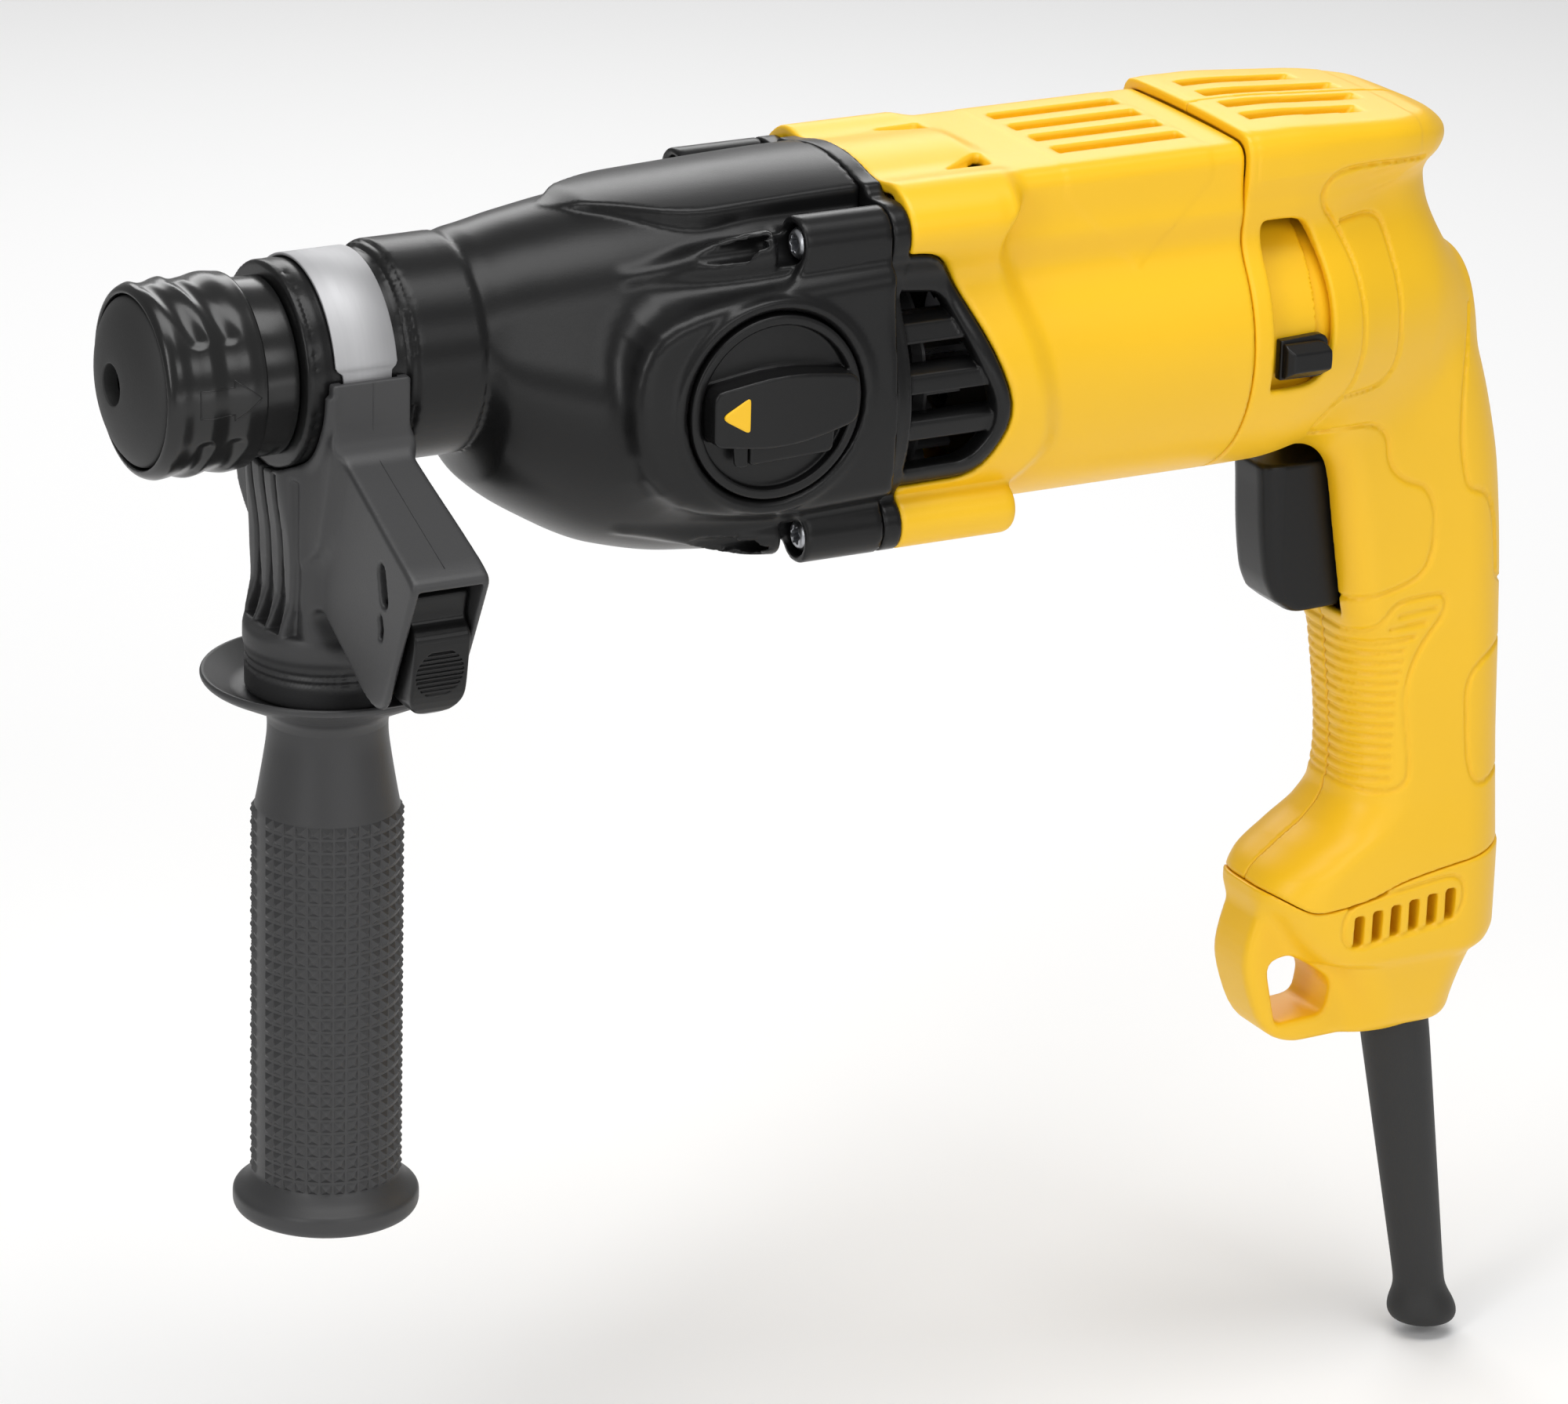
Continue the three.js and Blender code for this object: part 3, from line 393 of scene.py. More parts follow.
def moulded(name, colour, roughness, grain, mirror=0.5):
    """Moulded plastic: slight shade changes from its flow, and the fine spark-eroded grain of its tool."""
    finish = Finish(name)
    flow = finish.noise(14, 3)
    fine = finish.noise(2600, 2)
    waves = finish.noise(160, 2)
    dark = tuple(0.93 * c for c in colour)
    light = tuple(min(1.0, 1.05 * c) for c in colour)
    tint = finish.blend(flow, dark, light)
    shine = flow * 0.10 + fine * 0.10 + (roughness - 0.10)
    texture = finish.bump(waves, 0.05, 0.0004)
    texture = finish.bump(fine, grain, 0.0001, below=texture)
    return finish.surface(Base_Color=tint, Roughness=shine, Normal=texture, Specular_IOR_Level=mirror)


YELLOW = moulded("yellow glass-filled nylon", (0.90, 0.52, 0.005), 0.40, 0.10)

SCREW_PLACES = [(side * y, z) for y, z in ((29.5, 22.0), (29.0, -47.0)) for side in (-1, 1)]
MOTOR_Z = (span("armature_shaft")[0][2] + span("armature_shaft")[1][2]) / 2
SHELL_LOW, SHELL_HIGH = span("motor_housing")
# the black frame round the louvres, seen from the side
FRAME_EDGE = [(110, 18.4, 0), (137, 17.4, 7), (150.4, -8, 12), (155.4, -23, 7), (147.6, -37.8, 6),
              (110, -38.4, 0)]


def barrel_section(y, z):
    """The barrel with the flat-topped cap that overhangs it."""
    barrel = np.hypot(y, z - MOTOR_Z) - 36.0
    cap = np.hypot(np.maximum(np.abs(y) - 22.6, 0), np.maximum(np.abs(z - 21.5) - 5.0, 0)) - 5.2
    crown = z - (32.0 - 0.0011 * y * y)
    return meet(join(barrel, cap, 12.0), crown, 1.5)


def flange_section(y, z):
    """The front flange: the outline that the gear case and the inner housing share."""
    return two_circles(y, z, MOTOR_Z, 38.4, 4.0, 29.2)


def two_circles(y, z, low_z, low_radius, high_z, high_radius):
    """Distance to the belt round two circles that stand one above the other."""
    rise = np.maximum(high_z - low_z, 0.5)
    lean = np.clip((low_radius - high_radius) / rise, -0.9, 0.9)
    upright = np.sqrt(1 - lean * lean)
    aside, lift = np.abs(y), z - low_z
    low = np.hypot(aside, lift) - low_radius
    high = np.hypot(aside, lift - rise) - high_radius
    flank = aside * upright + lift * lean - low_radius
    along = upright * lift - lean * aside
    return np.where(along < 0, low, np.where(along > upright * rise, high, flank))


def motor_form(x, y, z):
    """The housing's outer form without its details: the flange runs over the S step into the barrel."""
    step_x = through([(-50, 156), (-30, 165.5), (-10, 162), (8, 156.5), (18, 154), (26, 158)], z)
    share = np.clip((x - step_x + 3.5) / 7.0, 0, 1)
    share = share * share * (3 - 2 * share)
    flange = join(flange_section(y, z), barrel_section(y, z) + 1.2, 5.0)
    flange = join(flange, np.hypot(np.abs(y) - SCREW_PLACES[1][0], z - SCREW_PLACES[1][1]) - 6.3, 13.0)
    return flange * (1 - share) + barrel_section(y, z) * share


def motor_shell(x, y, z):
    form = motor_form(x, y, z)
    shell = cut(form, form + 2.6)
    for side_y, side_z in SCREW_PLACES:
        boss = np.hypot(y - side_y, z - side_z) - 6.3
        shell = join(shell, meet(boss, x - through([(-47, 158), (22, 152)], side_z), 3.0), 1.6)
    shell = meet(shell, between(x, SHELL_LOW[0] + 2.2, SHELL_HIGH[0]), 0.7)
    shell = cut(shell, np.maximum(18 - np.abs(y), outline(x, z, FRAME_EDGE)), 0.9)
    slots = np.inf
    for middle in (-15, -5, 5, 15):
        channel = outline(x, z, [(174, 33.5, 0), (178, 28, 2), (209, 27, 0), (209, 36, 0), (174, 36, 0)])
        slots = np.minimum(slots, np.maximum(channel, np.abs(y - middle) - 2.3))
    shell = cut(join(shell, np.maximum(meet(form, -(form + 7)),
                                       between(x, 172, 210) + np.maximum(24 - z, 0)), 0.5),
                slots, 0.6)
    pocket = outline(x, np.abs(y), [(146, 17.5, 1), (157.5, 17.8, 1), (157.5, 11, 1.5)])
    return cut(shell, np.maximum(pocket, 29.4 - z), 0.8)


piece("motor_shell", skin(motor_shell, (125, -39, -59), (220, 39, 35), 0.8), YELLOW, "housing",
      "motor_housing")


# ---- Rear handle ------------------------------------------------------------
# Two nylon half shells screwed together at the middle plane. They close the rear of the barrel,
# overhang it as a tail and run down into the grip; engraved lines mark the grip's panels.
HANDLE_FRONT = span("handle_left")[0][0]
LEVER_WINDOW = [(224.4, 12, 1.5), (236, 11.8, 6), (239.8, 5, 8), (241.4, -8, 12), (241.2, -19, 10),
                (238, -26.8, 5), (224.4, -27.4, 1.5)]
PANEL_LINES = [
    [(270, 21.4), (254, 22.6, 6), (244.5, 22.4, 4), (240.6, 19, 4), (240.8, 14, 4), (246.8, 7.2, 5),
     (250.6, -4, 8), (251.4, -20, 6), (249.4, -31, 5), (244.2, -35.4, 4), (241.6, -42.5, 3),
     (247, -44.2, 2), (262, -44, 4), (267.6, -47.6, 4), (268, -55.5, 4), (273, -60.6, 4), (280, -62.6, 5),
     (283, -72, 7), (281.4, -84.6, 6), (272, -88, 6), (262, -89.4, 4), (255, -93.4)],
    [(247.6, 8.6), (256, 9.2, 3), (260.4, 7.4, 4), (263.6, -8, 6), (264.4, -28, 4), (260.6, -33.2, 4),
     (249, -33)],
    [(248, -93), (255, -97.6, 4), (265, -99.4, 4), (270, -95.6, 5), (273, -91.2, 4), (286.6, -90.4, 3),
     (287.4, -95.4, 4), (279.4, -105, 8), (276.8, -116, 8), (279.4, -131, 8), (279.6, -139.4, 5),
     (270, -141, 6), (258, -136.6, 6), (248, -131)],
    [(291.4, -20), (288, -36, 8), (288.4, -54, 6), (291.2, -65, 3), (297.4, -66.4, 4), (300.6, -74, 5),
     (302.4, -90, 3), (312, -94)],
    [(314, -104.6), (300, -108.6, 6), (294.4, -114, 6), (296.2, -137, 6), (299.6, -142.6, 4), (314, -138)],
]


def foot_seam(x):
    """The height at which the halves end and the foot begins."""
    return through([(243, -163.6), (256, -168.4), (268, -167.2), (280, -163.6), (300, -160.4),
                    (314, -158.6)], x)


def grip_form(x, y, z):
    """The grip as a stack of rounded slices."""
    front = through([(-172, 243.6), (-165, 244.2), (-161, 246), (-155, 253.4), (-149, 261.6), (-143, 265.6),
                     (-134, 266.6), (-104, 263.8), (-88, 261), (-72, 258.4), (-58, 256), (-44, 250),
                     (-20, 236)], z)
    rear = through([(-170, 311.9), (-150, 311.2), (-130, 310.2), (-104, 309.2), (-84, 308), (-62, 305.8),
                    (-48, 303), (-32, 298.4), (-16, 291.4), (-4, 285), (8, 280.8), (15, 279.8), (24, 282)],
                    z)
    half = through([(-172, 18.7), (-160, 18.6), (-142, 17.5), (-128, 17.2), (-104, 17.4), (-84, 18.2),
                    (-44, 18.9), (-16, 19.2), (20, 20)], z)
    middle, reach = (front + rear) / 2, (rear - front) / 2
    edge = np.where(x < middle, through([(-170, 15), (-104, 14), (-94, 8), (-56, 7), (-44, 10)], z),
                    0.82 * half)
    over_x, over_y = np.abs(x - middle) - reach + edge, np.abs(y) - half + edge
    slice_ = (np.hypot(np.maximum(over_x, 0),
                       np.maximum(over_y, 0)) + np.minimum(np.maximum(over_x, over_y), 0)
              - edge)
    return meet(slice_, z - 22, 2)


def handle_form(x, y, z):
    shrink = through([(219, 0), (232, 0.2), (246, 2.6), (260, 7.4), (276, 14.5), (293, 27)], x)
    barrel = meet(barrel_section(y, z) + shrink, x - 293, 3)
    top = 32 - 0.0011 * y * y - through([(255, 0), (272, 0.9), (284, 4.6)], x)
    tail = meet(np.hypot(np.maximum(x - 256.8, 0), y) - 26.9, np.maximum(22.4 - z, z - top), 4.5)
    return join(join(barrel, grip_form(x, y, z), 11.0), tail, 9.0)


def handle_shell(x, y, z):
    form = handle_form(x, y, z)
    wall = cut(form, form + 2.6)
    ceiling = np.maximum(np.maximum(form, -form - 8), np.maximum(between(x, 222, 268), 22 - z))
    shell = join(wall, ceiling, 0.5)
    for line in PANEL_LINES:
        shell = cut(shell, np.hypot(line_distance(x, z, eased(line, closed=False)), form) - 0.62, 0.3)
    for k in range(14):
        height = -101.8 - 2.75 * k
        reach = np.maximum(x - (276.4 - 0.35 * min(k, 5)), 0)
        shell = cut(shell, np.hypot(np.hypot(z - height - 0.06 * (x - 268), reach), form) - 0.6, 0.3)
    for k in range(3):
        ridge = line_distance(x, z, [(274.4 - 2.3 * k, -94.9 - 3.1 * k),
                                     (284.4 - 2.8 * k, -94.2 - 3.3 * k)])
        shell = cut(shell, np.hypot(ridge, form) - 0.6, 0.3)
    for middle, end in ((-15, 258), (-5, 264), (5, 264), (15, 258)):
        channel = outline(x, z, [(226, 28.4, 1.5), (end - 6, 27.6, 2), (end + 1, 34, 0), (226, 36, 0)])
        shell = cut(shell, np.maximum(channel, np.abs(y - middle) - 2.3), 0.6)
    gate = outline(x, z, [(226, -50.6, 0), (262, -50.6, 5), (272, -56, 2), (272, -95, 3), (250, -95.6, 3),
                          (226, -95, 0)])
    shell = cut(shell, np.maximum(gate, np.abs(y) - 9.5), 1.2)
    shell = cut(shell, np.maximum(outline(x, z, LEVER_WINDOW), y + 20), 1.0)
    shell = meet(shell, HANDLE_FRONT - x, 0.7)
    return meet(shell, foot_seam(x) + 0.15 - z, 0.6)


def handle_side(side):
    def half(x, y, z):
        return meet(handle_shell(x, y, z), 0.1 - side * y, 0.3)
    return half


for name, side in (("left", -1), ("right", 1)):
    reach = (-29, 1) if side < 0 else (-1, 29)
    shell = skin(handle_side(side), (219, -37 if side < 0 else -1, -170), (314, 1 if side < 0 else 37, 34),
                 0.7)
    piece(f"handle_{name}_shell", shell, YELLOW, "housing", f"handle_{name}")


# ---- Foot of the handle -----------------------------------------------------
# A separate moulding below the seam. It carries the cord's inlet, a row of vents on each side
# and a loop for a lanyard at the front.
def foot_form(x, y, z):
    seam = foot_seam(x) - 0.15
    half = through([(-205, 12.6), (-196, 14.4), (-187, 16.2), (-183, 18.2), (-160, 18.7)], z)
    front = through([(-205, 271), (-186.5, 264), (-184, 258), (-172, 247.4), (-166, 243.8)], z)
    rear = through([(-205, 301.5), (-187.5, 306.4), (-184, 310.4), (-180, 311.9), (-160, 311.9)], z)
    middle, reach, edge = (front + rear) / 2, (rear - front) / 2, 0.8 * half
    over_x, over_y = np.abs(x - middle) - reach + edge, np.abs(y) - half + edge
    body = (np.hypot(np.maximum(over_x, 0), np.maximum(over_y, 0)) + np.minimum(np.maximum(over_x, over_y),
                                                                                0)
            - edge)
    body = meet(body, -205.2 - z, 4.5)
    ring = outline(x, z, [(246, -166, 3), (241.2, -180, 8), (241.8, -188, 8), (247, -201.6, 7),
                          (255, -206, 4), (284, -205.4, 3), (286, -166, 3)])
    loop = meet(ring, np.abs(y) - 8.6, 3.0)
    return meet(join(body, loop, 3.5), z - seam, 0.6)


def foot_shell(x, y, z):
    form = foot_form(x, y, z)
    hole = outline(x, z, [(247.2, -183.4, 4), (253.6, -182.2, 2), (261.6, -187, 3), (266, -191, 3),
                          (264.6, -199.2, 3), (250.6, -200, 2)])
    shell = cut(form, hole, 1.4)
    tray = [(262, -167.6, 6), (262.6, -179.6, 6), (296.6, -175.4, 6), (296.4, -163.4, 6)]
    frame_line = np.abs(outline(x, z, tray))
    on_side = np.maximum(10 - np.abs(y), 0)
    shell = cut(shell, np.hypot(frame_line, form) - 0.55 + on_side, 0.3)
    for k in range(6):
        middle = 267 + 5.15 * k
        tilt = 0.125 * (middle - 279)
        slot = meet(np.abs(x - middle) - 1.45, between(z, -177.4 + tilt, -169.2 + tilt), 1.0)
        shell = cut(shell, np.maximum(slot, 8 - np.abs(y)), 0.5)
    inlet = np.hypot(x - 289.6 - 0.161 * (-205 - z), y) - 9.2
    return cut(shell, np.maximum(inlet, z + 196), 0.5)


piece("handle_foot", skin(foot_shell, (240, -20, -207), (314, 20, -157), 0.6), YELLOW, "housing",
      "handle_base")


# ---- Gear case --------------------------------------------------------------
# One glass-filled nylon casting round the spindle and the gears, open at the rear. Its nose is
# turned for the side handle's band, four bosses take the case screws, and the knob sits in a
# raised field on the left.
NYLON = moulded("black glass-filled nylon", (0.0060, 0.0060, 0.0062), 0.31, 0.14, mirror=0.28)


def joint_place(name):
    """A joint's place in millimetres."""
    joints = frame["record"]["behaviour"]["joints"]
    return [distance / MM for joint in joints if joint["name"] == name for distance in joint["pos_m"]]


KNOB_X, _, KNOB_Z = joint_place("mode_knob_turn")
NOSE_PROFILE = [(-14.8, 0), (-14.8, 23.3, 0.8), (-9.7, 23.3, 0.4), (-9.7, 23.1), (9.4, 23.1),
                (9.4, 24.2, 0.5), (11.2, 24.2), (11.2, 25, 0.8), (27.6, 25, 0.5), (27.6, 24.2), (31, 24.2),
                (31, 0)]


def case_body(x, y, z):
    """The plain case, wide round the motor line and round at the nose, with the pad on its top."""
    low_z = through([(27.6, 0), (33, -6), (45, -11), (62, -16), (80, MOTOR_Z)], x)
    low = through([(27.6, 24.4), (33, 27), (45, 31), (62, 34.6), (80, 37), (98, 38.4)], x)
    high_z = through([(27.6, 0), (33, 1), (45, 1.6), (62, 2.2), (80, 3), (98, 4)], x)
    high = through([(27.6, 24.4), (33, 24.6), (45, 26.2), (62, 28), (80, 28.6), (98, 29.2)], x)
    body = two_circles(y, z, low_z, low, high_z, high)
    sides = outline(x, y, [(50, 0, 4), (58, 8, 4), (78, 19.6, 9), (150, 19.6), (150, -19.6),
                           (78, -19.6, 9), (58, -8, 4)])
    top = z - through([(52, 29.0), (60, 31.4), (84, 32.9), (122, 34)], x) + 0.010 * y * y
    return join(body, meet(meet(sides, top, 0.9), 12 - z), 0.7)


def boss_ridge(x, y, z):
    """The swell that leads up to each screw boss, with the boss itself."""
    shape = np.inf
    for side_y, side_z in SCREW_PLACES:
        lift = 1 if side_z > 0 else -1
        spread = through([(62, -6.5), (100, -0.9)], x)
        reach = np.hypot(y - side_y - math.copysign(1, side_y) * spread, z - side_z - 0.8 * lift * spread)
        shape = np.minimum(shape, meet(reach - through([(62, 0.8), (80, 3.8), (92, 4.6), (99, 4.6)], x),
                                       62 - x, 3))
        boss = meet(np.hypot(y - side_y, z - side_z) - 6.4, (100.6 if lift > 0 else 103) - x, 0.8)
        shape = np.minimum(shape, boss)
    return shape


def case_shell(x, y, z):
    body = case_body(x, y, z)
    field = outline(x, z, [(57, -8, 12), (61, 9, 16), (86, 14, 12), (124, 15, 2), (124, -37, 2),
                           (88, -38.5, 14), (63, -32, 16)])
    raised = meet(field, np.maximum(-39 - y, y + 20), 4.0)
    form = meet(join(join(body, boss_ridge(x, y, z), 3.0), raised, 8.0), 24 - x)
    rim = np.hypot(np.hypot(x - KNOB_X, z - KNOB_Z) - 23.8, y + 38.9) - 1.25
    form = join(form, rim, 1.0)
    hollow = np.maximum(np.maximum(body + 2.8, 33 - x), -y - 33)
    form = cut(form, hollow, 0.5)
    for side_y, side_z in SCREW_PLACES:
        face = 100.6 if side_z > 0 else 103
        seat = np.maximum(np.hypot(y - side_y, z - side_z) - 4.6, between(x, face - 5, face + 4))
        form = cut(form, seat, 1.0)
        form = cut(form, np.hypot(y - side_y, z - side_z) - 2.4)
    around_knob = np.hypot(x - KNOB_X, z - KNOB_Z)
    form = cut(form, np.maximum(around_knob - 22.0, y + 35.2), 0.4)
    form = cut(form, np.maximum(around_knob - 7.4, y + 20))
    nose = outline(x, np.hypot(y, z), NOSE_PROFILE)
    nose = groove(nose, np.abs(x + 12.6), 0.35)
    form = join(form, nose, 0.3)
    bore = np.minimum(np.hypot(y, z) - 14, np.maximum(np.hypot(y, z) - 18.3, between(x, 13, 40)))
    return meet(cut(form, np.maximum(bore, x - 40)), x - 122.7, 0.5)


piece("gear_case", skin(case_shell, (-15, -42, -57), (123, 38, 35), 0.95), NYLON, "housing",
      "gearbox_housing")


# ---- Inner housing and louvres ----------------------------------------------
# The black carrier between gear case and motor housing. It shows as a rim all round, and on each
# side as a rolled frame with three bars that lets the fan's air out.
WINDOW = [(125.6, 7.6, 2.5), (138.2, 6.4, 3), (149.8, -18.5, 4), (149.8, -25.6, 4), (144.4, -32.8, 3),
          (125.6, -33.2, 2.5)]
BAR_HEIGHT, BAR_MIDDLES = 5.7, (-1.0, -12.2, -23.4)


def carrier_shell(x, y, z):
    body = case_body(x, y, z)
    rim = body
    for side_y, side_z in SCREW_PLACES:
        rim = join(rim, np.hypot(y - side_y, z - side_z) - 6.3, 13.0 if side_z > 0 else 2.0)
    rim = meet(cut(rim, body + 2.8), between(x, 123.0, 127.5), 0.5)
    outer = motor_form(x, y, z) + 0.1
    window = outline(x, z, WINDOW)
    frame_ring = meet(np.maximum(outer, -outer - 6.5), outline(x, z, FRAME_EDGE) + 0.3, 1.6)
    frame_ring = cut(frame_ring, window, 2.0)
    for middle in BAR_MIDDLES:
        bar = np.maximum(between(z, middle - BAR_HEIGHT / 2, middle + BAR_HEIGHT / 2),
                         np.maximum(outer + 1.8, -outer - 7))
        bevel = 0.856 * (z - middle - 1.4) + 0.517 * (outer + 1.8)
        frame_ring = np.minimum(frame_ring, np.maximum(meet(bar, bevel, 0.4), window - 1.5))
    sides = np.maximum(frame_ring, np.maximum(123.2 - x, 18 - np.abs(y)))
    return join(rim, sides, 0.8)


piece("inner_carrier", skin(carrier_shell, (123, -39, -57), (156, 39, 35), 0.6), NYLON, "housing",
      "inner_housing")


# ---- Case screws ------------------------------------------------------------
# Four zinc-plated screws with pan heads and a six-lobed socket, in the gear case's bosses.
def revolved(profile, axis=0, centre=(0, 0, 0), sides=96, lobes=None):
    """The surface of a closed outline of (place on the axis, radius) corners turned round an axis."""
    points = np.array(eased(profile))
    turns = np.arange(sides) * 2 * math.pi / sides
    radius = np.maximum(points[:, 1], 0.02)[:, None] * (1 if lobes is None else lobes(points, turns))
    rings = np.stack(np.broadcast_arrays(points[:, 0][:, None], radius * np.cos(turns),
                                         radius * np.sin(turns)), -1)
    rings = np.roll(rings, axis, 2) + np.array(centre, float)
    m, n = rings.shape[:2]
    i, j = np.meshgrid(np.arange(m), np.arange(n), indexing="ij")
    faces = [(i + a) % m * n + (j + b) % n for a, b in ((0, 0), (0, 1), (1, 1), (1, 0))]
    faces = np.stack(faces, -1).reshape(-1, 4)
    area = np.roll(points, -1, 0)[:, 0] * points[:, 1] - points[:, 0] * np.roll(points, -1, 0)[:, 1]
    if area.sum() > 0:
        faces = faces[:, ::-1]
    return rings.reshape(-1, 3) * MM, faces


def metal(name, colour, roughness, stretch, relief=0.06):
    """Bare metal: fine tool marks drawn out along one way, over slow changes in its sheen."""
    finish = Finish(name)
    marks = finish.noise(900, 3, stretch)
    sheen = finish.noise(40, 3)
    dark = tuple(0.80 * c for c in colour)
    light = tuple(min(1.0, 1.12 * c) for c in colour)
    tint = finish.blend(sheen, dark, light)
    shine = marks * 0.16 + sheen * 0.12 + (roughness - 0.12)
    return finish.surface(Base_Color=tint, Roughness=shine, Normal=finish.bump(marks, relief, 0.0001),
                          Metallic=1.0)


ZINC = metal("zinc-plated screws", (0.42, 0.43, 0.45), 0.32, (1, 1, 1))


def socket_lobes(points, turns):
    """Six lobes in the socket's wall and floor, none on the rest of the screw."""
    wave = 1 + 0.16 * np.cos(6 * turns)
    return np.where((points[:, 1] < 2.2)[:, None] & (points[:, 0] < 3.0)[:, None], wave[None, :], 1)


for side_y, side_z in SCREW_PLACES:
    face = 100.5 if side_z > 0 else 103
    head = [(0.4, 1.9, 0.2), (2.6, 1.7), (2.6, 0), (34.8, 0), (34, 2.0, 0.5), (3.8, 2.0), (3.8, 3.9, 0.4),
            (1.8, 3.9, 1.6), (0.4, 2.8, 1.0)]
    shape = revolved(head, centre=(face, side_y, side_z), lobes=socket_lobes)
    row = "upper" if side_z > 0 else "lower"
    name = f"{row}_{'left' if side_y < 0 else 'right'}"
    piece(f"case_screw_{name}", shape, ZINC, "housing", f"gearbox_screw_{name}", crease=40)


# ---- Mode knob --------------------------------------------------------------
# A moulded knob with a bulged bar across it, a yellow pointer pressed into the bar and a
# sprung lock tab under it.
def knob_form(x, y, z):
    u, w = x - KNOB_X, z - KNOB_Z
    around = np.hypot(u, w)
    disc = meet(around - 21.4, np.maximum(-40.3 - y, y + 35.5), 0.7)
    disc = cut(disc, meet(around - 19.0, y + 38.9 - 0.0022 * around * around, 0.6), 0.5)
    bar = outline(u, w, [(-17.8, 6.6, 2.5), (0, 9.8, 16), (18.6, 6.8, 3), (18.8, -4.2, 3), (0, -8.4, 16),
                         (-17.8, -6.0, 2.5)])
    bar = meet(bar, np.maximum(-45.4 - y + 0.0030 * u * u, y + 37), 0.8)
    ledge = outline(u, w, [(-7.4, -4, 0), (14.2, -4, 0), (13.4, -11.4, 1.5), (-7.4, -12.2, 1)])
    ledge = meet(ledge, np.maximum(-41.9 - y, y + 37), 0.6)
    shaft = np.maximum(around - 7, between(y, -36, -27.2))
    return np.minimum(join(join(disc, bar, 0.8), ledge, 0.6), shaft)


piece("knob", skin(knob_form, (69, -46, -35), (115, -27, 11), 0.42), NYLON, "mode_knob", "mode_knob")


def pointer_form(x, y, z):
    arrow = outline(x - KNOB_X, z - KNOB_Z, [(-16.6, 0.9, 2.2), (-9.2, 5.2, 1.4), (-9.2, -3.6, 1.4)])
    return meet(arrow, between(y, -45.25, -44.2), 0.25)


piece("knob_pointer", skin(pointer_form, (74, -46, -17), (84, -44, -5), 0.25), YELLOW, "mode_knob",
      "mode_arrow")


def lock_form(x, y, z):
    tab = outline(x - KNOB_X, z - KNOB_Z,
                  [(-11.6, -6, 1), (-7.8, -6, 0.5), (-7.8, -12.4, 0.5), (-11, -12.4, 1.5)])
    return meet(tab, between(y, -41.6, -40.6), 0.3)


piece("knob_lock", skin(lock_form, (80, -42, -25), (85, -40, -17), 0.25), NYLON, "mode_lock_button",
      "mode_lock_button")


# ---- Tool holder ------------------------------------------------------------
# A domed rubber cap with a hole for the shank, the nylon sleeve that unlocks the tool, with two
# waists and pressed finger flutes, and a lacquered ring behind it.
RUBBER = moulded("black rubber", (0.016, 0.016, 0.016), 0.62, 0.30)
GLOSS = moulded("polished black nylon", (0.010, 0.010, 0.010), 0.24, 0.04, mirror=0.4)

CAP_PROFILE = [(-51.5, 4.7, 0.4), (-51.3, 8, 3), (-50.1, 13.2, 3), (-48.3, 17.0, 2), (-46.4, 19.1, 1),
               (-42.6, 19.1, 0.3), (-42.6, 9.9), (-47.8, 9.9), (-47.8, 4.7, 0.3)]
piece("cap", revolved(CAP_PROFILE), RUBBER, "spindle", "dust_cap", crease=60)
FLUTES = [[(-45, -5), (-41.6, 9), (-38.6, 20)], [(-37.6, -5), (-34.2, 9), (-31.2, 20)],
          [(-37.6, 46), (-38.6, 56), (-41.6, 67)], [(-30.4, 46), (-31.2, 56), (-34.2, 67)]]


def sleeve_form(x, y, z):
    radius = np.hypot(y, z)
    bulge = through([(-46.8, 21.2), (-44, 22), (-40.6, 21.7), (-37, 22.3), (-32.5, 21.6), (-28, 22.3),
                     (-24, 21.9)], x)
    sleeve = meet(radius - bulge, between(x, -46.8, -23.2), 1.4)
    aside = 22 * np.arctan2(np.abs(y), z)
    for path in FLUTES:
        sleeve = cut(sleeve, np.hypot(line_distance(x, aside, path), radius - 24.1) - 2.7, 0.8)
    mouth = np.maximum(radius - 19.5, x + 39)
    skirt = np.maximum(radius - 20.4, -36 - x)
    return cut(sleeve, np.minimum(np.minimum(mouth, skirt), radius - 12.6), 0.4)


piece("sleeve", skin(sleeve_form, (-47, -23, -23), (-23, 23, 23), 0.45), GLOSS, "locking_sleeve",
      "locking_sleeve")
RING_PROFILE = [(-24, 15), (-24, 20, 0.4), (-15.2, 20, 0.4), (-15.2, 9.8), (-20, 9.8), (-20, 15)]
piece("holder_ring", revolved(RING_PROFILE), GLOSS, "spindle", "chuck_collar", crease=40)


def bead(name, path, thickness, finish, body, closed=False):
    """A fine raised line along a path of points in millimetres."""
    curve = bpy.data.curves.new(name, "CURVE")
    curve.dimensions, curve.bevel_depth, curve.bevel_resolution = "3D", thickness * MM, 1
    curve.use_fill_caps = True
    line = curve.splines.new("POLY")
    line.points.add(len(path) - 1)
    for point, place in zip(line.points, path):
        point.co = (*(np.array(place, float) * MM), 1)
    line.use_cyclic_u = closed
    drawn = bpy.data.objects.new(name, curve)
    scene.collection.objects.link(drawn)
    mesh = bpy.data.meshes.new_from_object(drawn.evaluated_get(bpy.context.evaluated_depsgraph_get()))
    bpy.data.objects.remove(drawn)
    points = np.array([v.co for v in mesh.vertices])
    return piece(name, (points, [tuple(p.vertices) for p in mesh.polygons]), finish, body)


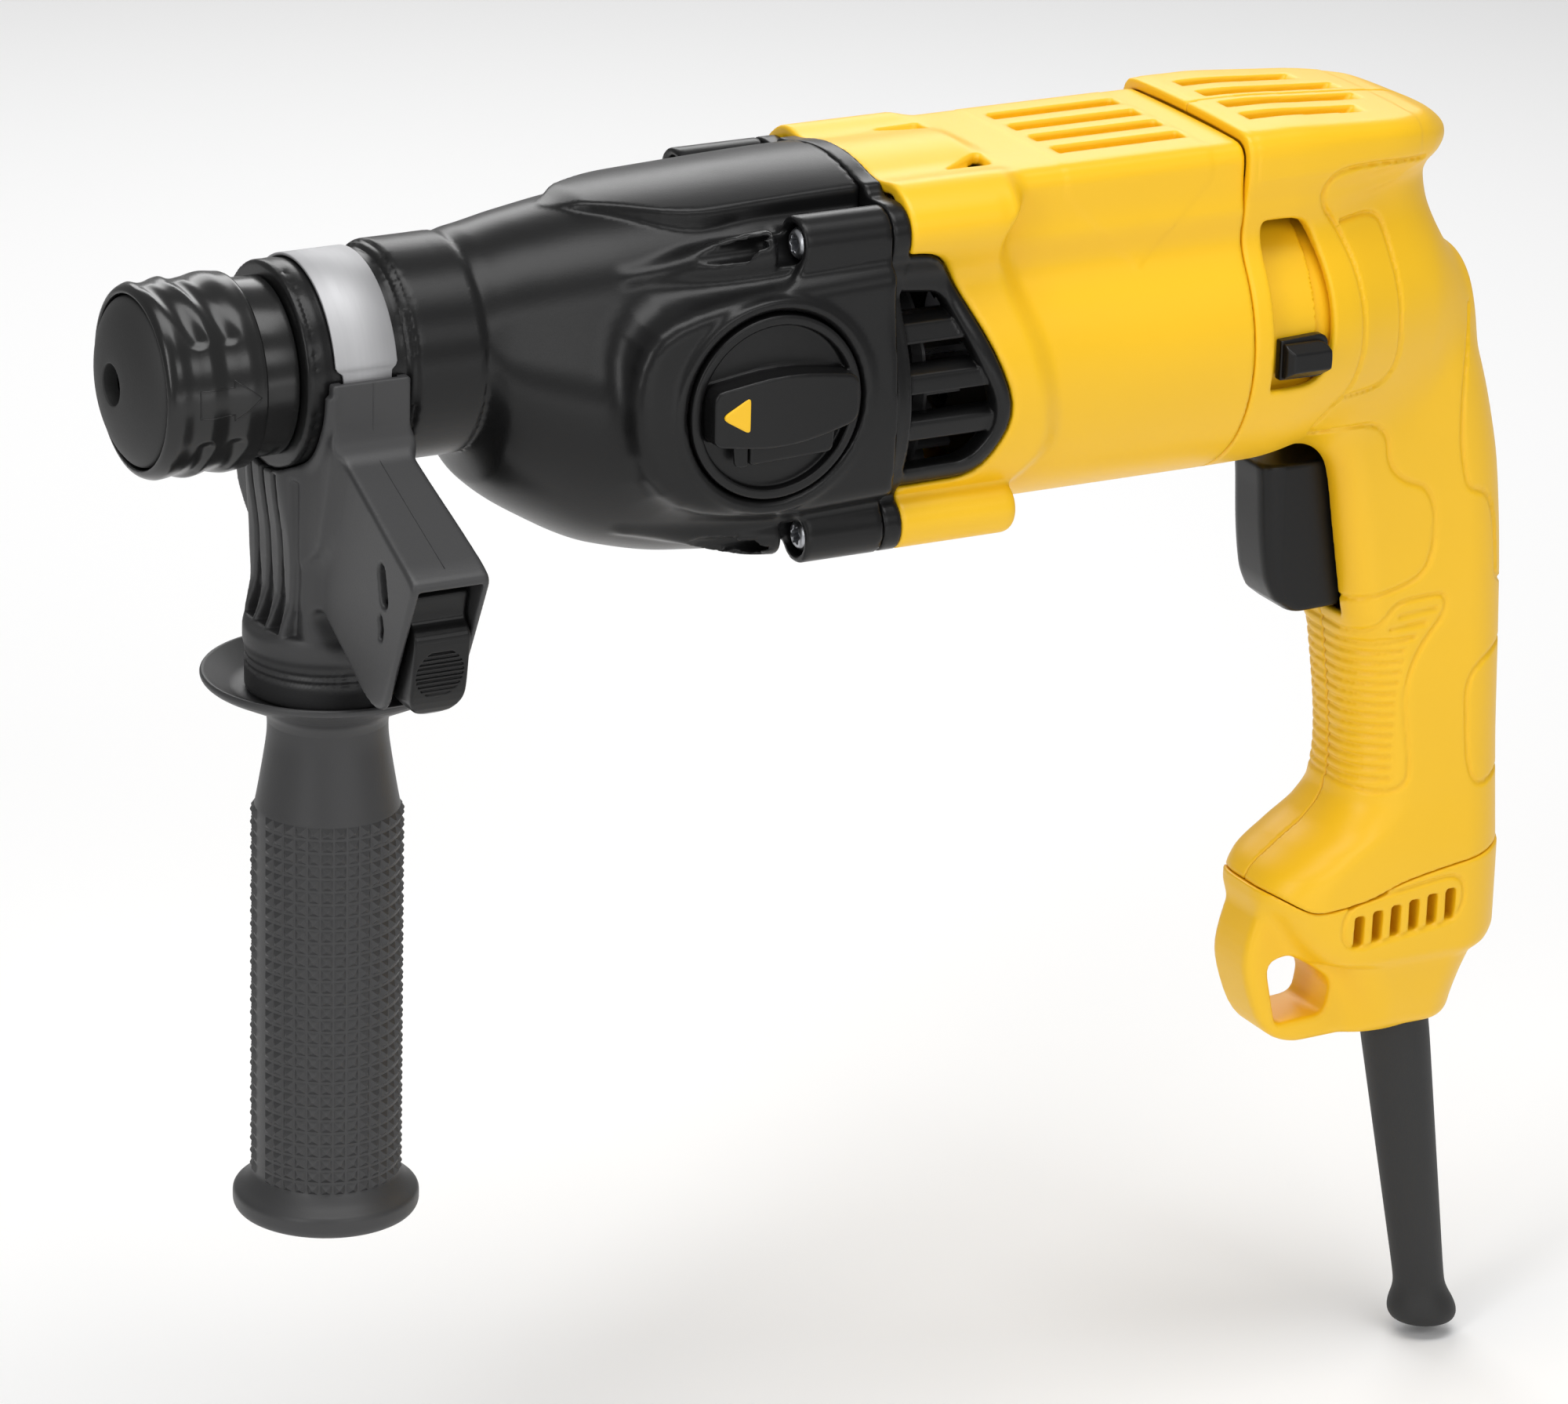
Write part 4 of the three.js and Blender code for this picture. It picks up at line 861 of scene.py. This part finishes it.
def on_sleeve(corners):
    """Corners of (x, height) drawn round the sleeve's left side, in short steps."""
    path = []
    for (x0, h0), (x1, h1) in zip(corners, corners[1:] + corners[:1]):
        for t in np.arange(0, 1, 0.1):
            x, arc = x0 + t * (x1 - x0), (h0 + t * (h1 - h0)) / 22
            radius = through([(-40.6, 21.7), (-37, 22.3), (-32.5, 21.6), (-28, 22.3), (-24, 21.9)],
                             x) + 0.02
            path.append((x, -radius * math.cos(arc), radius * math.sin(arc)))
    return path


ARROW = [(-39.6, 3.2), (-31.4, 3.2), (-31.4, 4.8), (-25.2, 0), (-31.4, -4.8), (-31.4, -3.2), (-39.6, -3.2)]
bead("sleeve_arrow", on_sleeve(ARROW), 0.17, GLOSS, "locking_sleeve", closed=True)


# ---- Clamping band ----------------------------------------------------------
# A strip of stainless steel bent over the gear case's nose; its legs go down into the bracket and
# are narrower there. The bolt in the grip pulls it down.
BAND_STEEL = metal("brushed stainless band", (0.50, 0.50, 0.51), 0.60, (1, 0.05, 0.05), 0.10)
BAND_R, BAND_THICK = 23.4, 0.75


def band_shape():
    legs = np.linspace(-32.4, 0, 28)
    bend = np.linspace(0, math.pi, 90)[1:-1]
    web = np.linspace(BAND_R, -BAND_R, 16)[1:-1]
    route = [(-BAND_R, z, -1, 0) for z in legs]
    route += [(-BAND_R * math.cos(a), BAND_R * math.sin(a), -math.cos(a), math.sin(a)) for a in bend]
    route += [(BAND_R, z, 1, 0) for z in legs[::-1]]
    route += [(y, -32.4, 0, -1) for y in web]
    points = []
    for y, z, out_y, out_z in route:
        narrow = float(through([(1.4, 1.7), (3.2, 1.5), (4.6, 0.0)], z))
        low, high = -8.4 + narrow, 6.4 - narrow * 0.9
        for x, out in ((low + 0.2, 0), (low, 0.2), (low, 0.55), (low + 0.2, BAND_THICK),
                       (high - 0.2, BAND_THICK), (high, 0.55), (high, 0.2), (high - 0.2, 0)):
            points.append((x, y + out * out_y, z + out * out_z))
    count, wide = len(route), 8
    faces = [((i % count) * wide + j, (i % count) * wide + (j + 1) % wide,
              ((i + 1) % count) * wide + (j + 1) % wide,
              ((i + 1) % count) * wide + j) for i in range(count) for j in range(wide)]
    return np.array(points) * MM, np.array(faces)


piece("band", band_shape(), BAND_STEEL, "clamp", "clamp_band", crease=50)


# ---- Side handle bracket ----------------------------------------------------
# A glass-filled nylon moulding: the saddle under the band, a ribbed neck that flares to a round
# base, and an arm to the left with the depth stop's lever in its open end.
GREY = moulded("dark grey glass-filled nylon", (0.033, 0.033, 0.034), 0.46, 0.22)
ARM_SIDE = [(-20, -10.8, 2), (-26, -13.6, 1.5), (-62.6, -29.4, 2), (-67, -32, 2.5), (-51, -65.6, 4),
            (-42, -66.6, 8), (-12, -50, 4), (-10, -20, 2)]


def bracket_form(x, y, z):
    saddle = outline(y, z, [(-26.2, 2), (-26.2, -15, 2), (-19, -40, 8), (18, -44, 6), (26.2, -34.6, 3),
                            (26.2, 2)])
    saddle = meet(saddle, between(x, -10.2, 8.6), 0.9)
    front = through([(-66, -18.4), (-62, -16.8), (-57, -14.6), (-52, -13.4), (-42, -13.6), (-22, -15.6)], z)
    half = through([(-66, 18.4), (-62, 16.8), (-52, 14.4), (-42, 14.6), (-22, 15.4)], z)
    rear = through([(-66, 19.6), (-60, 16.4), (-52, 14), (-22, 14)], z)
    middle, reach = (front + rear) / 2, (rear - front) / 2
    over_x, over_y = np.abs(x - middle) - reach + 4, np.abs(y) - half + 4
    neck = np.hypot(np.maximum(over_x, 0), np.maximum(over_y, 0)) + np.minimum(np.maximum(over_x, over_y),
                                                                               0) - 4
    ribs = np.inf
    for place in (-12.6, -6.2, 0.2, 6.6, 13.0):
        wide = through([(-61, 2.5), (-54, 1.9), (-46, 1.0), (-24, 0.9)], z)
        ribs = np.minimum(ribs, np.maximum(np.abs(y - place) - wide,
                                           np.maximum(x + 11.6, between(z, -60.5, -23.5))))
    neck = meet(meet(neck, between(z, -66, -20), 1.0), np.hypot(x - 0.8, y) - 18.9, 1.2)
    neck = cut(neck, ribs, 0.7)
    across = through([(-64, 9.3), (-26, 8.4)], y)
    arm = meet(outline(y, z, ARM_SIDE), np.abs(x + 0.4) - across, 1.3)
    base = meet(np.hypot(x - 0.8, y) - 18.8, between(z, -77.2, -62), 1.3)
    for height in (-69.2, -70.9):
        base = groove(base, np.abs(z - height), 0.45)
    lip = np.hypot(np.hypot(y, z) - 24.9, x + 10.1) - 1.3
    body = join(join(join(saddle, neck, 4.0), arm, 5.0), np.maximum(lip, z + 1), 1.0)
    body = join(body, base, 1.6)
    for limit in (cut_room, rod_room):
        body = cut(body, limit(x, y, z), 0.6)
    return body


def cut_room(x, y, z):
    """The band's slot, the nose's seat and the bolt's hole."""
    seat = np.hypot(y, z) - 23.5
    slot = np.maximum(np.maximum(between(x, -7.5, 6.0), np.abs(y) - 24.5), -34 - z)
    bolt = np.maximum(np.hypot(x - 0.8, y) - 4.6, -80 - z)
    collar = np.maximum(np.hypot(y, z) - 26, 9.0 - x)
    return np.minimum(np.minimum(seat, slot), np.minimum(np.minimum(bolt, collar), 2.0 - z))


def rod_room(x, y, z):
    """The lever's pocket in the arm's end, the depth rod's hole and two openings in the front wall."""
    pocket = outline(y, z, [(-74, -33.4), (-60, -33.2), (-51, -34, 1.5), (-43.4, -56, 2), (-43.4, -63.6, 3),
                            (-54, -66.8), (-74, -66.8)])
    pocket = meet(pocket, np.abs(x + 0.4) - through([(-64, 7.7), (-40, 7.4)], y), 0.5)
    rod = np.hypot(y + 46.4, z + 37) - 3.4
    rod = np.maximum(rod, -x)
    window = np.maximum(line_distance(y, z, [(-49.6, -33.6), (-51.0, -39.4)]) - 2.0, x)
    moon = np.maximum(line_distance(y, z, [(-49.0, -44.6), (-49.6, -46.6), (-49.2, -48.4)]) - 1.1, x)
    return np.minimum(np.minimum(pocket, rod), np.minimum(window, moon))


piece("bracket", skin(bracket_form, (-20, -68, -78), (21, 27, 3), 0.62), GREY, "side_handle",
      "side_handle_bracket")
bead("saddle_parting", [(-0.6, -26.22, 1.6), (-0.6, -26.22, -13.6), (-0.6, -63, -29.5)], 0.09, GREY,
     "side_handle")


# ---- Depth stop lever -------------------------------------------------------
# The nylon lever that frees the depth rod, with a ribbed round pad for the thumb.
def lever_form(x, y, z):
    side = outline(y, z, [(-56.6, -34.4, 1), (-60.8, -36.4, 1), (-59.0, -42.4, 1.5), (-62.6, -45.6, 2),
                          (-60.2, -60, 4), (-57.0, -65.8, 3), (-49.4, -63.4, 3), (-50.6, -50, 6)])
    lever = meet(side, np.abs(x + 0.4) - 6.9, 0.8)
    lever = meet(lever, np.where(z < -58.8, np.hypot(x + 0.4, z + 58.8), np.abs(x + 0.4)) - 6.9, 0.8)
    face = y + 62.6 + 0.164 * (z + 45.6)
    pad = np.hypot(x + 0.6, z + 54.3) - 5.75
    between_ribs = np.abs(np.mod(z + 54.3, 1.1) - 0.55) - 0.3
    return cut(lever, np.maximum(np.maximum(pad, face - 0.6), between_ribs), 0.12)


piece("depth_lever", skin(lever_form, (-8, -64, -67), (8, -47, -33), 0.25), NYLON, "depth_stop_button",
      "depth_stop_button")


# ---- Side grip --------------------------------------------------------------
# The handle proper, a soft-touch tube with a guard. Geometry Nodes set rows of small pyramids
# on it, all but a plain stripe at the front.
GRIP_PROFILE = [(-204.5, 4.4), (-204.5, 20.2, 1), (-203, 21.4, 1), (-199.6, 21.4, 1), (-197.6, 18.6, 1.5),
                (-195, 16.6, 1), (-106, 16.6, 1), (-103, 16.0, 3), (-96, 14.8, 3), (-88, 13.6, 3),
                (-82.6, 13.8, 3), (-79.6, 20, 4), (-75.6, 28, 1.5), (-74.2, 29, 1), (-73, 28.4, 0.8),
                (-77.6, 21, 1.5), (-77.6, 4.4)]
GRIP_AXIS_X = 0.8
piece("grip", revolved(GRIP_PROFILE, axis=2, centre=(GRIP_AXIS_X, 0, 0), sides=160), GREY, "side_grip",
      "side_grip", crease=50)


def studs(name, finish, body, slot, **given):
    """Rows of small pyramids round an upright tube, set by Geometry Nodes and baked to a plain mesh."""
    tree = bpy.data.node_groups.new(name, "GeometryNodeTree")
    kinds = {"Rows": "Int", "Columns": "Int", "Around": "Float", "Height": "Float", "Middle": "Vector",
             "Radius": "Float", "Size": "Float", "Rise": "Float", "Finish": "Material"}
    sockets = {key: tree.interface.new_socket(name=key, in_out="INPUT", socket_type=f"NodeSocket{kind}")
               for key, kind in kinds.items()}
    tree.interface.new_socket(name="Geometry", in_out="OUTPUT", socket_type="NodeSocketGeometry")

    def node(kind, settings=None, **links):
        made = tree.nodes.new(kind)
        for key, setting in (settings or {}).items():
            setattr(made, key, setting)
        for key, source in links.items():
            place = made.inputs[int(key[1:]) if key[1:].isdigit() else key.replace("_", " ")]
            if isinstance(source, bpy.types.NodeSocket):
                tree.links.new(source, place)
            else:
                place.default_value = source
        return made.outputs

    given_in = node("NodeGroupInput")
    grid = node("GeometryNodeMeshGrid", Size_X=given_in["Around"], Size_Y=given_in["Height"],
                Vertices_X=given_in["Columns"], Vertices_Y=given_in["Rows"])["Mesh"]
    flat = node("ShaderNodeSeparateXYZ", Vector=node("GeometryNodeInputPosition")[0])
    turn_x = node("ShaderNodeMath", {"operation": "COSINE"}, _0=flat["X"])[0]
    turn_y = node("ShaderNodeMath", {"operation": "SINE"}, _0=flat["X"])[0]
    away = node("ShaderNodeCombineXYZ", X=turn_x, Y=turn_y)[0]
    reach = node("ShaderNodeVectorMath", {"operation": "SCALE"}, Vector=away, Scale=given_in["Radius"])[0]
    level = node("ShaderNodeCombineXYZ", Z=flat["Y"])[0]
    place = node("ShaderNodeVectorMath", {"operation": "ADD"}, _0=reach, _1=level)[0]
    place = node("ShaderNodeVectorMath", {"operation": "ADD"}, _0=place, _1=given_in["Middle"])[0]
    facing = node("FunctionNodeAxesToRotation", {"primary_axis": "Z", "secondary_axis": "X"},
                  Primary_Axis=away, Secondary_Axis=(0.0, 0.0, 1.0))[0]
    capture = tree.nodes.new("GeometryNodeCaptureAttribute")
    capture.capture_items.new("ROTATION", "facing")
    tree.links.new(grid, capture.inputs["Geometry"])
    tree.links.new(facing, capture.inputs["facing"])
    points = node("GeometryNodeSetPosition", Geometry=capture.outputs["Geometry"], Position=place)[0]
    cone = node("GeometryNodeMeshCone", Vertices=4, Radius_Top=0.0002, Radius_Bottom=given_in["Size"],
                Depth=given_in["Rise"])["Mesh"]
    cone = node("GeometryNodeTransform", Geometry=cone, Rotation=(0.0, 0.0, math.pi / 4))[0]
    cone = node("GeometryNodeSetShadeSmooth", Geometry=cone, Shade_Smooth=False)[0]
    many = node("GeometryNodeInstanceOnPoints", Points=points, Instance=cone,
                Rotation=capture.outputs["facing"])[0]
    whole = node("GeometryNodeRealizeInstances", Geometry=many)[0]
    whole = node("GeometryNodeSetMaterial", Geometry=whole, Material=given_in["Finish"])[0]
    node("NodeGroupOutput", Geometry=whole)
    made = bpy.data.objects.new(name, bpy.data.meshes.new(name))
    scene.collection.objects.link(made)
    modifier = made.modifiers.new(name, "NODES")
    modifier.node_group = tree
    for key, value in given.items():
        modifier[sockets[key].identifier] = value
    modifier[sockets["Finish"].identifier] = finish
    mesh = bpy.data.meshes.new_from_object(made.evaluated_get(bpy.context.evaluated_depsgraph_get()))
    made.modifiers.remove(modifier)
    made.data = mesh
    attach(made, body)


STUD_ROWS, STUD_PITCH, STRIPE_ANGLE = 29, 3.1, 0.46
studs("grip_studs", GREY, "side_grip", "grey_nylon", Rows=STUD_ROWS, Columns=33,
      Around=2 * math.pi - STRIPE_ANGLE, Height=(STUD_ROWS - 1) * STUD_PITCH * MM,
      Middle=(GRIP_AXIS_X * MM, 0.0, -0.1505), Radius=0.0165, Size=0.0019, Rise=0.00095)


# ---- Trigger, reversing lever and brush ring --------------------------------
# The trigger is a hollow nylon hook. The reversing lever stands on the yellow brush ring, which
# shows behind it in the handle's window.
def trigger_form(x, y, z):
    front = through([(-94, 249), (-90, 245.2), (-84, 242.8), (-72, 241.2), (-62, 240.6), (-56, 240.2)], z)
    half = 8.7 - 0.10 * np.maximum(246 - x, 0) ** 1.3
    body = meet(front - x, np.abs(y) - half, 3.6)
    body = meet(body, outline(x, z,
                              [(236, -55.8, 0), (263, -55.8, 2), (263, -93.2, 2), (249, -93.6, 5),
                               (238, -93.2, 0)]), 1.2)
    return cut(body, np.maximum(np.abs(y) - 6.6, np.maximum(between(z, -90, -59), 248 - x)), 0.4)


piece("trigger_shell", skin(trigger_form, (239, -10, -95), (264, 10, -55), 0.45), NYLON, "trigger",
      "trigger")


def drum_form(x, y, z):
    around = np.hypot(y, z - MOTOR_Z)
    drum = meet(np.maximum(around - 31.9, 30.4 - around), between(x, 225.4, 241.0), 0.3)
    step = np.maximum(np.maximum(around - 31.0, 29.6 - around), between(x, 237.2, 244.0))
    drum = np.minimum(cut(drum, np.maximum(between(x, 237.6, 242), 30.8 - around)), step)
    ring = np.maximum(np.maximum(around - 25, 13 - around), between(x, 232.4, 236.4))
    spokes = np.maximum(np.maximum(around - 31, 24 - around),
                        np.maximum(between(x, 232.4, 236.4), np.abs(z - MOTOR_Z) - 6))
    return np.minimum(np.minimum(drum, ring), spokes)


piece("brush_drum", skin(drum_form, (225, -33, -51), (245, 33, 16), 0.5), YELLOW, "brush_plate",
      "brush_ring", crease=50)


def reverser_form(x, y, z):
    u, w = x - 233.2, z + 20.0
    pad = meet(outline(u, w, [(-6, 4.2, 0.4), (5.0, 4.2, 2.5), (5.6, 0, 3), (5.0, -4.2, 2.5),
                              (-6, -4.2, 0.4)]),
               -38.2 - y, 0.4)
    for lift in (1, -1):
        pad = meet(pad, 0.80 * (lift * w - 2.2) + 0.60 * (-38.2 - y), 0.3)
    pad = meet(pad, 0.82 * (-u - 4.8) + 0.57 * (-38.2 - y), 0.3)
    foot = meet(outline(u, w, [(-6.4, 4.8, 0.4), (6.4, 5.4, 3), (6.6, -5, 3), (-6.4, -4.8, 0.4)]),
                between(y, -34.4, -32.0), 0.4)
    return np.minimum(np.maximum(pad, y + 33), foot)


piece("reverser", skin(reverser_form, (226, -39, -26), (240, -31, -14), 0.25), NYLON, "brush_plate",
      "reverse_lever", crease=45)


# ---- Cord sleeve ------------------------------------------------------------
# The rubber bend protector at the foot: a slender cone with a flared mouth.
CORD_PROFILE = [(-196, 3.6), (-196, 8.7), (-212, 8.6, 4), (-278, 6.4, 6), (-282, 6.5, 3), (-286.4, 8.4, 2),
                (-289, 8.8, 1.4), (-290.6, 8.0, 0.6), (-290.6, 3.6)]
leaning, faces = revolved(CORD_PROFILE, axis=2)
leaning[:, 0] += 0.2896 + 0.161 * (-0.205 - leaning[:, 2])
piece("bend_protector", (leaning, faces), RUBBER, "housing", "cord_sleeve", crease=50)


# ---- Parts inside -----------------------------------------------------------
# Shafts, gears and bearings stay as packed and take ground, turned or phosphated finishes.
INSIDE = {
    metal("ground steel", (0.55, 0.56, 0.57), 0.26, (0.1, 1, 1)):
        ["spindle", "beat_piece", "striker", "wobble_ring", "intermediate_shaft", "armature_shaft",
         "locking_ball_left", "locking_ball_right", "sleeve_spring", "clamp_bolt", "spindle_front_bearing",
         "spindle_rear_bearing", "intermediate_front_bearing", "intermediate_rear_bearing",
         "armature_front_bearing", "armature_rear_bearing"],
    metal("phosphated steel", (0.13, 0.13, 0.14), 0.46, (1, 1, 1)):
        ["piston", "spindle_gear", "wobble_drum", "drive_gear", "clutch_sleeve", "shift_fork",
         "armature_core", "field_stator", "handle_screw_1", "handle_screw_2", "handle_screw_3"],
    metal("turned copper", (0.62, 0.30, 0.16), 0.30, (0.1, 1, 1)): ["commutator"],
    metal("pressed brass", (0.62, 0.44, 0.17), 0.34, (1, 0.2, 1)): ["brush_holder_left",
                                                                    "brush_holder_right"],
    moulded("pressed carbon", (0.020, 0.020, 0.020), 0.66, 0.3): ["carbon_brush_left",
                                                                  "carbon_brush_right"],
    GREY: ["fan", "switch_body"],
    RUBBER: ["front_seal"],
}
for finish, nodes in INSIDE.items():
    for node in nodes:
        for holder in frame["nodes"][node].material_slots:
            holder.material = finish
